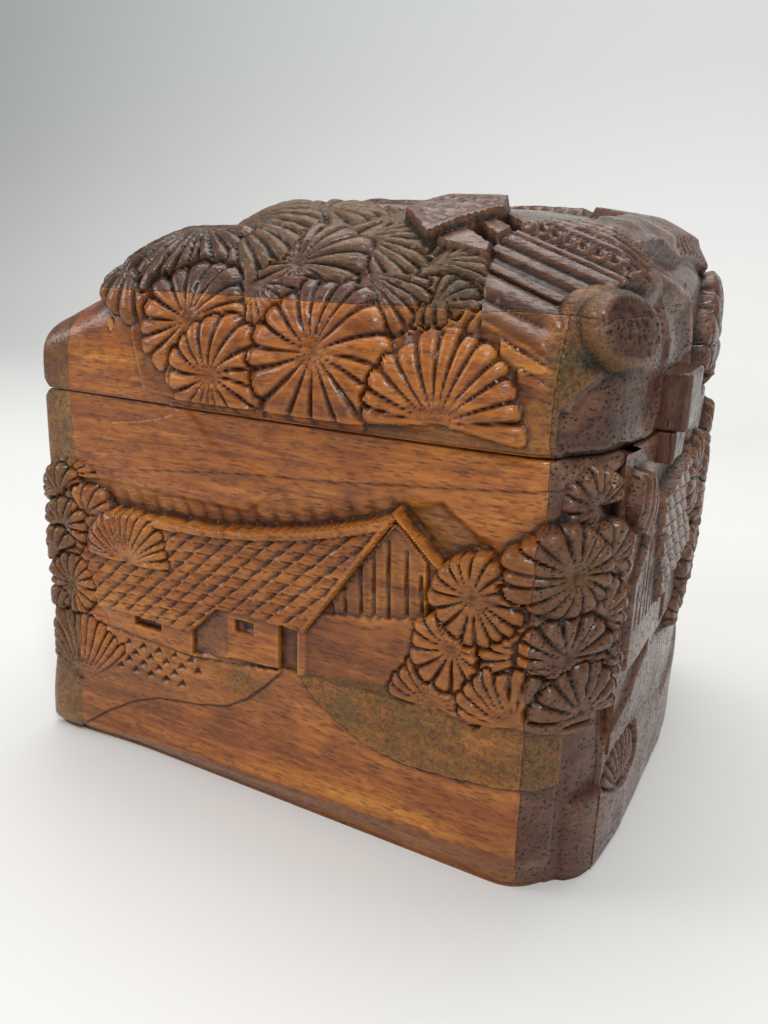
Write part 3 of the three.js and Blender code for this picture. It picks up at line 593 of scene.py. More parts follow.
def carve_left(relief):
    """The left end is unseen: hills, a sun-lit sky and palm clusters like the front's."""
    index, u, z = relief.face(LEFTWARD, 0.75)
    p = relief.p[index]
    relief.h[index] += 0.35 * noise(p, 24, 41)
    hills = [(-90, 66), (-50, 80), (-18, 70), (20, 84), (54, 74), (90, 80), (90, -5), (-90, -5)]
    relief.raise_area(u, z, index, hills, 0.9 + 0.2 * noise(p, 9, 42), edge=1.0)
    bank = [(-90, 34), (-40, 40), (0, 30), (44, 38), (90, 26), (90, -5), (-90, -5)]
    relief.raise_area(u, z, index, bank, 2.0 + 0.2 * noise(p, 3, 43), edge=0.8, moss=0.3)
    relief.h[index] -= 1.6 * smooth(10, 1, z) ** 1.5
    for y0, z0, radius, start, sweep, lift in (
        (70, 92, 12, 0, 360, 3.0), (52, 80, 14, 0, 360, 3.4), (68, 66, 13, 0, 360, 3.8),
        (46, 56, 14, -5, 190, 3.6), (66, 42, 15, 0, 180, 3.8), (-58, 88, 15, 0, 360, 3.2),
        (-36, 72, 14, 0, 360, 3.6), (-66, 64, 13, 0, 360, 3.6), (-44, 48, 16, -5, 190, 3.6),
        (-70, 40, 13, 0, 190, 3.4), (12, 60, 12, 0, 180, 2.4),
    ):
        leaf(relief, (LEFT, y0, z0), LEFTWARD, radius, start, sweep, lift=lift, tint=0.25)


def carve_back(relief):
    """The back is unseen: a village of two roofs between palm clusters."""
    index, u, z = relief.face(BACKWARD, 0.75)
    p = relief.p[index]
    relief.h[index] += 0.35 * noise(p, 26, 51)
    hills = [(-90, 84), (-60, 92), (-30, 104), (-4, 92), (30, 100), (60, 88), (90, 94), (90, -5), (-90, -5)]
    relief.raise_area(u, z, index, hills, 0.7 + 0.2 * noise(p, 9, 52), edge=1.0)
    bank = [(-90, 40), (-20, 46), (20, 38), (90, 44), (90, -5), (-90, -5)]
    relief.raise_area(u, z, index, bank, 1.8 + 0.2 * noise(p, 3, 53), edge=0.8, moss=0.3)
    for x0, z0, wide in ((-22, 46, 40), (26, 50, 30)):
        walls = [(x0 - wide / 2 + 3, z0 - 4), (x0 - wide / 2 + 3, z0 + 14), (x0 + wide / 2 - 3, z0 + 14),
                 (x0 + wide / 2 - 3, z0 - 4)]
        relief.raise_area(u, z, index, walls, 2.2, edge=0.5)
        for k in (-1, 1):
            pane = [(x0 + 8 * k - 2.4, z0 + 3), (x0 + 8 * k + 2.4, z0 + 3), (x0 + 8 * k + 2.4, z0 + 8),
                    (x0 + 8 * k - 2.4, z0 + 8)]
            relief.raise_area(u, z, index, pane, 0.4, edge=0.35, stain=1)
        rise, dark = tiles(u, z, 4.8)
        slope = [(x0 - wide / 2, z0 + 13), (x0 + wide / 2, z0 + 13), (x0 + wide / 2 - 5, z0 + 32),
                 (x0 - wide / 2 + 5, z0 + 32)]
        cover = smooth(0.45, -0.25, polygon_distance(u, z, slope))
        relief.cover(index, 3.2 + rise, cover, over=True, stain=dark * 0.85, tint=0.15)
    relief.h[index] -= 1.6 * smooth(10, 1, z) ** 1.5
    for x0, z0, radius, start, sweep, lift in (
        (62, 92, 13, 0, 360, 3.2), (76, 76, 12, 0, 360, 3.6), (56, 70, 13, 0, 360, 3.8),
        (72, 50, 15, -5, 190, 3.8), (50, 46, 12, 0, 185, 3.4), (-70, 90, 13, 0, 360, 3.2),
        (-56, 74, 13, 0, 360, 3.6), (-74, 64, 12, 0, 360, 3.6), (-60, 46, 16, -5, 190, 3.6),
        (2, 62, 11, 0, 180, 2.8),
    ):
        leaf(relief, (x0, BACK, z0), BACKWARD, radius, start, sweep, lift=lift, tint=0.25)


def ease_seam(relief, seam):
    """Worn arrises beside the parting line, and more wear at the front right corner."""
    away = np.abs(relief.p[:, 2] - seam)
    corner = smooth(40, 8, np.hypot(relief.p[:, 0] - 86, relief.p[:, 1] + 74))
    radius = 0.8 + 1.6 * corner
    drop = radius * (1 - np.sqrt(np.clip(1 - np.clip(1 - away / radius, 0, 1) ** 2, 0, 1)))
    limit = np.where(away < 3, 1.2, 99)
    relief.h = np.minimum(relief.h, limit + away * 0.8) - drop
    relief.stain = np.maximum(relief.stain, 0.85 * smooth(0.9, 0.2, away))


# ---- The lid's carving --------------------------------------------------------------


def on_dome(x, z, side=-1):
    """Point on the dome's front (or back) at x and height z, and its outward normal."""
    low, high = 0.0, 95.0
    for _ in range(24):
        middle = (low + high) / 2
        outside = dome_field(np.array([[x, RIDGE_Y + side * middle, z]]))[0] > 0
        low, high = (low, middle) if outside else (middle, high)
    point = np.array([x, RIDGE_Y + side * low, z])
    slope = [dome_field((point + a)[None])[0] - dome_field((point - a)[None])[0] for a in np.eye(3)]
    return point, np.array(slope)


def dome_leaf(relief, x, z, radius, start=0, sweep=360, side=-1, **kw):
    point, normal = on_dome(x, z, side)
    leaf(relief, point, normal, radius, start, sweep, **kw)


def lid_leaves(relief):
    """Leaves over the lid's front, laid from the crest down to the seam."""
    dark = {"tint": 1.0, "moss": 0.45}
    dome_leaf(relief, 18, 177.5, 22, lift=1.4, tall=0.75, tint=0.9, moss=0.5)
    dome_leaf(relief, -8, 178.5, 20, lift=2.2, tall=0.8, tint=0.8, moss=0.5)
    dome_leaf(relief, 46, 173, 19, lift=1.6, **dark)
    dome_leaf(relief, 39, 165.5, 19, 200, 200, lift=2.6, lobes=17, **dark)
    dome_leaf(relief, 13, 170.5, 23, 180, 220, lift=3.0, lobes=20, lean=0.1, lean_to=-30, **dark)
    dome_leaf(relief, -55, 163, 15, lift=4.2, lean=0.2, lean_to=-60, tint=0.7)
    dome_leaf(relief, 45, 156, 12, 0, 180, lift=2.6, tall=0.8, tint=0.05, moss=0.5)
    dome_leaf(relief, 22, 162, 21, 225, 140, lift=3.2, lobes=13, tint=0.15, moss=0.15)
    dome_leaf(relief, 1, 163.5, 19, lift=4.0, lean=0.1, lean_to=-20, tint=0.45, moss=0.3)
    dome_leaf(relief, -32, 172, 27, 190, 260, lift=4.6, lobes=25, lean=0.15, lean_to=-45, tint=0.75,
              moss=0.4)
    dome_leaf(relief, -43.5, 171, 23, 170, 200, lift=5.0, lobes=16, lean=0.15, lean_to=-80, tint=0.65)
    dome_leaf(relief, -10.5, 158.5, 19, 180, 190, lift=4.6, lobes=15, lean=0.1, bend=0.1, tint=0.1)
    dome_leaf(relief, -29, 148, 18.5, lift=4.4, lobes=16, tint=0.08)
    dome_leaf(relief, -19, 134.5, 17, lift=5.2, lobes=16, lean=0.12, lean_to=-30, bend=0.5)
    dome_leaf(relief, 14.5, 143.0, 21, lift=5.4, lobes=17, lean=0.12, lean_to=-60, bend=0.35)
    dome_leaf(relief, 51.5, 129.5, 22, -8, 196, lift=5.4, lobes=13, bend=0.1, crown=2.6)


def carve_lid_front(relief):
    index, x, z = relief.face(AHEAD, 0.35)
    p = relief.p[index]
    relief.h[index] += 0.3 * noise(p * [1, 1, 2], 24, 61)
    # One raised mass under the leaves, so that no flat ground shows between them; it is darkened with
    # painted shade, which shows in the gaps between the leaves.
    mass = [(-46, 128), (-52, 150), (-58, 164), (-40, 185), (90, 185), (82, 150), (79, 138), (70, 131),
            (-20, 125)]
    bumps = 0.5 * noise(p, 3.0, 64)
    relief.raise_area(x, z, index, mass, 2.3 + bumps, edge=1.6, stain=0.45, tint=0.25)
    # Rough bank along the seam under the right-hand leaves.
    bank = [(6, 120), (12, 127), (22, 131), (32, 132), (52, 131), (70, 133), (79, 141), (79, 120)]
    rough = 0.25 * noise(p * [1, 1, 2.5], 4, 62) + 0.12 * noise(p, 1.3, 63)
    relief.raise_area(x, z, index, bank, 2.4 + rough, edge=1.2, moss=0.45, stain=0.0)
    relief.raise_area(x, z, index, [(-40, 118), (-36, 125), (-6, 124), (12, 127), (80, 126), (84, 118)], 1.2,
                      edge=1.2)
    # Ruffled foliage and bright overlapping planks beside the big fan.
    ruffle = 3.4 + 0.9 * np.sin(x * 1.9 + 1.2 * np.sin(z * 0.8)) + 0.5 * noise(p, 1.6, 65)
    relief.raise_area(x, z, index, [(40, 150), (42, 158), (58, 158), (61, 151)], ruffle, edge=0.8, moss=0.5,
                      stain=0.2)
    for x0, z0, z1, deep, lift in (
        (58.5, 156.0, 146.5, 7.0, 5.4), (64.5, 149.2, 142.4, 5.0, 4.8), (70.0, 143.6, 138.8, 3.6, 4.0),
    ):
        below = z0 + (z1 - z0) * (x - x0) / (80 - x0) - z  # distance under the plank's top edge
        share = smooth(-0.35, 0.3, below) * smooth(deep + 0.4, deep - 0.3, below)
        share = share * smooth(x0 - 0.5, x0 + 0.5, x) * smooth(82, 81, x)
        splits = 0.15 * np.sin(3.1 * below + 0.9 * x)
        # Each plank is darkened with painted shade towards its lower edge, which leaves its upper edge
        # bright as if lit.
        relief.cover(index, lift - 0.55 * below + splits, share, over=True, tint=0.0,
                     stain=0.8 * smooth(1.6, 3.8, below))


# The ribbed roof is flat: the way it faces, the way its ribs run, and the way up its slope.
ROOF_OUT = np.array([0.139, -0.609, 0.781])
ROOF_ALONG = np.array([0.926, -0.200, -0.321])
ROOF_UP = np.array([0.351, 0.768, 0.536])
ROOF_LEVEL = 176.0


def carve_ribbed_roof(relief):
    """The roof on the front right shoulder: two fat ribs, two speckled bands, knots, fine ribs."""
    facing = relief.n @ ROOF_OUT
    near = (relief.p[:, 0] > 44) & (relief.p[:, 1] < -20) & (relief.p[:, 2] > 140) & (facing > 0.55)
    region = np.nonzero(near)[0]
    p = relief.p[region]
    level = np.clip((ROOF_LEVEL - p @ ROOF_OUT) / facing[region], -2.0, 2.8)
    flat = p + relief.n[region] * level[:, None]
    along, over = flat @ ROOF_ALONG, flat @ ROOF_UP
    outline = [(20.4, 43.6), (44, 43), (44, 49), (40.7, 57), (39, 63.5), (38.5, 68), (40, 74), (43, 79),
               (36, 88), (18, 90), (9, 82), (6.5, 72), (6, 65), (11, 57), (15.7, 49.3)]
    distance = polygon_distance(along, over, outline)
    rib = np.where(over < 49.4, (over - 43.0) / 6.6, (over - 49.2) / 8.3)
    barrel = np.sqrt(np.clip(np.sin(math.pi * np.clip(rib, 0, 1)), 0, 1))
    bands = np.interp(over, [57.4, 58.0, 60.2, 61.0, 62.8, 63.6, 66.0, 66.8, 67.8, 68.6, 71.0, 71.8],
                      [0.2, 1.8, 1.8, 0.7, 0.7, 1.9, 1.9, 0.6, 0.6, 1.8, 1.8, 0.5])
    speckled = ((over > 63.4) & (over < 66.2)) | ((over > 68.4) & (over < 71.2))
    fine = np.abs(np.sin(math.pi * (over - 71.6) / 2.6))
    knots = smooth(1.7, 0.7, np.hypot((along % 4.2) - 2.1, over - 76.8))
    upper = np.where(over < 71.6, bands, 0.4 + 1.1 * np.sqrt(fine) + 1.6 * knots)
    height = level + np.where(over < 57.4, 0.2 + 2.4 * barrel, upper) + 0.06 * noise(p, 2.2, 72)
    bevels = smooth(1.2, 0.7, bands)
    between = np.where(over < 71.6, bevels, smooth(0.7, 0.1, fine))
    groove = np.where(over < 57.4, smooth(0.6, 0.2, barrel), between)
    stain = np.where(speckled, 0.35 + 0.7 * noise(p, 0.8, 71), groove)
    low = p[:, 2] < TOP_JOINT
    stain = np.clip(np.where(low, np.maximum(stain, 0.72), stain), 0, 1)
    relief.cover(region, height, smooth(0.5, -0.3, distance), over=True, stain=stain, moss=0.0,
                 tint=np.where(low, 1.0, 0.0))
    # Painted shadow: a dark band just outside the roof's outline, where the roof stands over the surface
    # above the joint.
    drop = smooth(2.2, 0.2, distance) * (distance > 0) * (p[:, 2] > TOP_JOINT)
    relief.stain[region] = np.maximum(relief.stain[region], 0.8 * drop)


def carve_lid_corner(relief):
    """The shoulder under the ribbed roof: a mossy slope and a rounded stub with a porous end."""
    corner = np.array([86.5, -74.0, 148.0])
    index, u, v = relief.near(corner, CORNER_OUT, 34)
    p = relief.p[index]
    pocks = 0.40 * noise(p, 1.4, 73) + 0.3 * noise(p, 0.8, 74)
    slope = [(-11, -13), (-8, -11), (-4, -8), (1, -5), (7, 0), (-3, 10), (-9, 4)]
    distance = polygon_distance(u, v, slope)
    relief.cover(index, 2.6 + pocks, smooth(2.2, -1.6, distance), over=True, moss=0.85, tint=0.0, stain=0.1)
    end = ((np.abs(u - 6.4) / 10.0) ** 2.2 + (np.abs(v - 3.4) / 7.4) ** 2.2) ** (1 / 2.2)
    collar = ((np.abs(u - 4.6) / 10.5) ** 2.2 + (np.abs(v - 4.8) / 9.0) ** 2.2) ** (1 / 2.2)
    relief.cover(index, 6.4 * (1 - 0.5 * collar ** 3) + 0.2 * pocks, smooth(1.08, 0.95, collar), over=True,
                 moss=0.85, tint=0.0, stain=0.0)
    pits = smooth(0.2, 0.6, noise(p, 0.8, 75)) * smooth(0.95, 0.8, end)
    face = 9.0 - 0.35 * pits - 1.6 * smooth(0.74, 1.0, end) - 0.16 * (u - 4.6) + 0.05 * v
    relief.cover(index, face, smooth(1.08, 0.98, end), over=True,
                 moss=0.85 * smooth(0.8, 0.95, end), tint=0.0,
                 stain=np.clip(0.55 * smooth(0.98, 0.82, end) + 0.45 * pits, 0, 1))


def carve_lid_right(relief):
    """A smooth hollow on the right end, between the stub and a broad bulge at the back."""
    index, y, z = relief.face(RIGHTWARD, 0.5)
    p = relief.p[index]
    fade = smooth(0.55, 0.85, relief.n[index][:, 0])
    relief.h[index] += (0.8 * noise(p * [1, 1, 1.3], 20, 81) - 1.0) * smooth(-70, -56, y) * fade
    for line, wide, rise in (
        ([(-52, 160), (-40, 164), (-22, 158), (-12, 146), (-8, 130)], 5.5, 2.6),
        ([(-46, 126), (-38, 134), (-34, 148), (-40, 158)], 3.5, 1.2),
    ):
        away = line_distance(y, z, line)
        relief.h[index] += rise * smooth(wide, 0, away) * fade
    leaf(relief, np.array([RIGHT, 30, 142]), (1, 0.1, 0.1), 21, -30, 240, lift=4.6, lobes=8, crown=2.4,
         groove=1.0)
    leaf(relief, np.array([90, 62, 134]), (0.9, 0.45, 0), 15, lift=3.5, tint=0.4)


def carve_lid_top(relief):
    """Crest: ploughed ground towards the back right, and lapped hills."""
    top = np.nonzero(relief.n[:, 2] > 0.35)[0]
    x, y = relief.p[top, 0], relief.p[top, 1]
    p = relief.p[top]
    relief.h[top] += 0.6 * noise(p, 20, 91) * smooth(-40, -10, x)
    relief.tint[top] = np.maximum(relief.tint[top], smooth(-60, -30, x) * 0.5)

    def area(outline, height, edge=0.6, **looks):
        return relief.raise_area(x, y, top, outline, height, edge, **looks)

    # Ploughed slope towards the back right, and lapped hills.
    ribs = np.abs(np.sin(math.pi * (x * 0.5 + y * 0.86) / 4.2))
    area([(62, 0), (90, -12), (92, 24), (62, 36)], 2.2 + 0.8 * ribs, 0.8, tint=0.2, stain=0.3)
    area([(70, -38), (84, -42), (91, -16), (78, -10)], 3.4 + 0.8 * noise(p, 5, 96), 1.0, stain=0.2)
    area([(20, 30), (52, 24), (60, 60), (24, 66)], 2.8 + 0.6 * noise(p, 6, 93), 1.4, tint=0.3)
    area([(-30, 6), (10, -6), (22, 20), (-18, 34)], 1.8 + 0.5 * noise(p, 6, 94), 1.6, tint=0.5)
    area([(-64, 10), (-40, -8), (-26, 12), (-46, 36)], 1.4 + 0.4 * noise(p, 7, 95), 1.8, tint=0.4)


def carve_crest_house(relief):
    """The small house on the crest: a wall with two slot windows under a thick slab roof."""
    top = np.nonzero((relief.n[:, 2] > 0.3) & (relief.p[:, 0] > 10) & (relief.p[:, 1] < 0))[0]
    x, y = relief.p[top, 0], relief.p[top, 1]

    def area(outline, height, edge=0.45, **looks):
        return relief.raise_area(x, y, top, outline, height, edge, moss=0.0, **looks)

    area([(38, -60), (52, -43), (62, -49), (58, -64)], 4.4, tint=0.0, stain=0.1)
    for outline in ([(44.5, -54.5), (46.5, -52), (54.5, -58), (52.5, -59.5)],
                    [(50, -48.2), (52, -46), (58.5, -51), (56.5, -52.8)]):
        area(outline, 1.0, 0.4, tint=0.0, stain=1.0)
    slab = [(24, -50), (31, -36), (48, -36), (51, -46), (36, -61)]
    inside = area(slab, 7.0, 0.5, tint=0.0, stain=0.05)
    notches, dark = tiles(x - y, x + y, 5.0)
    worked = smooth(-2.0, -3.0, inside)
    relief.h[top] += (notches - 0.6) * 0.8 * worked
    relief.stain[top] = np.maximum(relief.stain[top], dark * 0.7 * worked)
    # Painted shadow: a dark band round the foot of the slab roof, just outside its outline.
    under = smooth(2.0, 0.2, inside) * (inside > 0)
    relief.stain[top] = np.maximum(relief.stain[top], 0.9 * under)


def lid_back_leaves(relief):
    for x, z, radius, start, sweep in (
        (-2, 176, 16, 0, 360), (-30, 168, 14, 0, 360), (30, 174, 15, 0, 360), (-50, 158, 12, 0, 360),
        (56, 166, 15, 0, 360), (12, 162, 15, 0, 360), (-16, 156, 14, 0, 360), (38, 152, 16, 0, 360),
        (-40, 142, 15, 0, 360), (62, 140, 14, 0, 360), (-10, 138, 16, 0, 360), (20, 134, 17, -5, 190),
        (50, 131, 14, -5, 190),
    ):
        tint = 0.9 if z > 158 else 0.1
        dome_leaf(relief, x, z, radius, start, sweep, side=1, lift=3.6, tint=tint, moss=0.3 * tint)


# ---- Meshes -------------------------------------------------------------------------


def new_object(name, mesh):
    piece = bpy.data.objects.new(name, mesh)
    bpy.context.scene.collection.objects.link(piece)
    return piece


def built(name, work):
    """The mesh of a finished bmesh, which is then freed."""
    mesh = bpy.data.meshes.new(name)
    work.to_mesh(mesh)
    work.free()
    return mesh


def mesh_of(name, points, quads, caps=()):
    """A mesh from millimetre points, quads and any larger closing faces."""
    mesh = bpy.data.meshes.new(name)
    sizes = np.concatenate([np.full(len(quads), 4), [len(cap) for cap in caps]]).astype(np.int32)
    loops = np.concatenate([np.asarray(quads).ravel(), *caps]).astype(np.int32)
    mesh.vertices.add(len(points))
    mesh.vertices.foreach_set("co", (np.asarray(points) * MM).ravel())
    mesh.loops.add(len(loops))
    mesh.loops.foreach_set("vertex_index", loops)
    mesh.polygons.add(len(sizes))
    mesh.polygons.foreach_set("loop_start", np.concatenate([[0], np.cumsum(sizes)[:-1]]).astype(np.int32))
    mesh.polygons.foreach_set("loop_total", sizes)
    mesh.update(calc_edges=True)
    mesh.validate()
    return mesh


def hollow_of(points, quads, heights, rounds):
    """How far each point lies below the mean of its neighbourhood."""
    a = np.concatenate([quads[:, k] for k in range(4)])
    b = np.concatenate([quads[:, (k + 1) % 4] for k in range(4)])
    degree = np.bincount(a, minlength=len(points)) + np.bincount(b, minlength=len(points))
    mean = heights.copy()
    for _ in range(rounds):
        total = np.bincount(a, mean[b], len(points)) + np.bincount(b, mean[a], len(points))
        mean = total / np.maximum(degree, 1)
    return mean - heights


def carved_mesh(name, relief, quads, caps):
    points = relief.p + relief.n * relief.h[:, None]
    mesh = mesh_of(name, points, quads, caps)
    # These hollow measures become painted shade in the wood, darker in hollows and low ground, and a painted
    # highlight with wear on ridges.
    near = hollow_of(points, quads, relief.h, max(3, int(2.2 / STEP)))
    wide = hollow_of(points, quads, relief.h, max(8, int(20 / STEP)))
    fields = {
        "hollow": np.clip(near * 1.6, -1, 1), "low": np.clip(wide * 0.6, -1, 1), "stain": relief.stain,
        "moss": relief.moss, "tint": relief.tint,
    }
    for key, values in fields.items():
        layer = mesh.attributes.new(key, "FLOAT", "POINT")
        layer.data.foreach_set("value", values.astype(np.float32))
    return mesh


def box_mesh(name, low, high):
    mesh = bpy.data.meshes.new(name)
    work = bmesh.new()
    bmesh.ops.create_cube(work, size=1)
    for vert in work.verts:
        for k in range(3):
            vert.co[k] = (low[k] if vert.co[k] < 0 else high[k]) * MM
    work.to_mesh(mesh)
    work.free()
    return mesh


def bar_mesh(name, radius, y0, y1, x, z):
    mesh = bpy.data.meshes.new(name)
    work = bmesh.new()
    turn = Matrix.Translation(Vector((x, (y0 + y1) / 2, z)) * MM) @ Matrix.Rotation(math.pi / 2, 4, "X")
    bmesh.ops.create_cone(work, cap_ends=True, segments=32, radius1=radius * MM, radius2=radius * MM,
                          depth=(y1 - y0) * MM, matrix=turn)
    work.to_mesh(mesh)
    work.free()
    return mesh


def oval_bar(low, high, rim=0.0):
    """An oval plug along Y that fills the box between two corners, with a softened rim."""
    mesh = bpy.data.meshes.new("oval")
    work = bmesh.new()
    size = (high - low) * MM
    place = Matrix.Translation(Vector((low + high) / 2) * MM) @ Matrix.Diagonal((*size, 1))
    bmesh.ops.create_cone(work, cap_ends=True, segments=40, radius1=0.5, radius2=0.5, depth=1,
                          matrix=place @ Matrix.Rotation(math.pi / 2, 4, "X"))
    if rim:
        edges = [e for e in work.edges if e.calc_face_angle() > 1]
        bmesh.ops.bevel(work, geom=edges, offset=rim * MM, segments=2, affect="EDGES")
    work.to_mesh(mesh)
    work.free()
    return mesh


def boolean(mesh, operation, tools):
    """The mesh joined with, or cut by, each tool mesh in turn."""
    body = new_object("work", mesh)
    for tool in tools:
        cutter = new_object("tool", tool)
        change = body.modifiers.new("cut", "BOOLEAN")
        change.operation = operation
        change.solver = "MANIFOLD"
        change.object = cutter
        graph = bpy.context.evaluated_depsgraph_get()
        result = bpy.data.meshes.new_from_object(body.evaluated_get(graph))
        body.modifiers.clear()
        body.data = result
        bpy.data.objects.remove(cutter)
    result = body.data
    bpy.data.objects.remove(body)
    return result


def finish_piece(name, mesh, body, slot, material, *nodes, angle=38):
    mesh.name = name
    mesh.materials.clear()
    mesh.materials.append(material)
    mesh.polygons.foreach_set("material_index", np.zeros(len(mesh.polygons), np.int32))
    mesh.polygons.foreach_set("use_smooth", np.ones(len(mesh.polygons), bool))
    mesh.set_sharp_from_angle(angle=math.radians(angle))
    piece = new_object(name, mesh)
    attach(piece, body)
    if nodes:
        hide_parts(*nodes)
    return piece


# ---- Materials ----------------------------------------------------------------------


def linear(r, g, b):
    """Linear colour from screen values of 0 to 255."""
    channels = (c / 255 for c in (r, g, b))
    return tuple(c / 12.92 if c < 10 / 255 else ((c + 0.055) / 1.055) ** 2.4 for c in channels) + (1.0,)


class Tree:
    """A material's node tree, built by short calls."""

    def __init__(self, name):
        self.material = bpy.data.materials.new(name)
        self.material.use_nodes = True
        self.nodes = self.material.node_tree.nodes
        self.links = self.material.node_tree.links
        self.shader = self.nodes["Principled BSDF"]
        self.place = self.add("ShaderNodeTexCoord").outputs["Object"]

    def add(self, kind, **settings):
        node = self.nodes.new(kind)
        for key, value in settings.items():
            setattr(node, key, value)
        return node

    def put(self, socket, value):
        if isinstance(value, bpy.types.NodeSocket):
            self.links.new(value, socket)
        else:
            socket.default_value = value

    def scaled(self, scale, rotation=(0, 0, 0)):
        node = self.add("ShaderNodeMapping")
        self.put(node.inputs["Vector"], self.place)
        node.inputs["Scale"].default_value = scale
        node.inputs["Rotation"].default_value = rotation
        return node.outputs["Vector"]

    def noise(self, vector, scale=1.0, detail=3.0, rough=0.55, distort=0.0):
        node = self.add("ShaderNodeTexNoise")
        self.put(node.inputs["Vector"], vector)
        settings = (("Scale", scale), ("Detail", detail), ("Roughness", rough), ("Distortion", distort))
        for key, value in settings:
            node.inputs[key].default_value = value
        return node.outputs["Fac"]

    def cells(self, vector, scale=1.0):
        node = self.add("ShaderNodeTexVoronoi")
        self.put(node.inputs["Vector"], vector)
        node.inputs["Scale"].default_value = scale
        return node.outputs["Distance"]

    def math(self, operation, a, b=0.0, clamp=False):
        node = self.add("ShaderNodeMath", operation=operation, use_clamp=clamp)
        self.put(node.inputs[0], a)
        self.put(node.inputs[1], b)
        return node.outputs[0]

    def span(self, value, low, high, to_low=0.0, to_high=1.0):
        node = self.add("ShaderNodeMapRange", interpolation_type="SMOOTHSTEP")
        self.put(node.inputs["Value"], value)
        for key, number in (("From Min", low), ("From Max", high), ("To Min", to_low), ("To Max", to_high)):
            node.inputs[key].default_value = number
        return node.outputs["Result"]

    def mix(self, share, a, b, blend="MIX"):
        node = self.add("ShaderNodeMix", data_type="RGBA", blend_type=blend)
        self.put(node.inputs[0], share)
        self.put(node.inputs[6], a)
        self.put(node.inputs[7], b)
        return node.outputs[2]

    def ramp(self, value, *stops):
        node = self.add("ShaderNodeValToRGB")
        self.put(node.inputs[0], value)
        elements = node.color_ramp.elements
        while len(elements) < len(stops):
            elements.new(0.5)
        for element, (place, colour) in zip(elements, stops):
            element.position = place
            element.color = colour
        return node.outputs["Color"]

    def field(self, name):
        return self.add("ShaderNodeAttribute", attribute_name=name).outputs["Fac"]

    def bump(self, height, distance, strength=1.0, under=None):
        node = self.add("ShaderNodeBump")
        node.inputs["Distance"].default_value = distance
        node.inputs["Strength"].default_value = strength
        self.put(node.inputs["Height"], height)
        if under is not None:
            self.put(node.inputs["Normal"], under)
        return node.outputs["Normal"]


GRAIN = {"x": (1, 14, 14), "y": (14, 1, 14), "z": (14, 14, 1)}


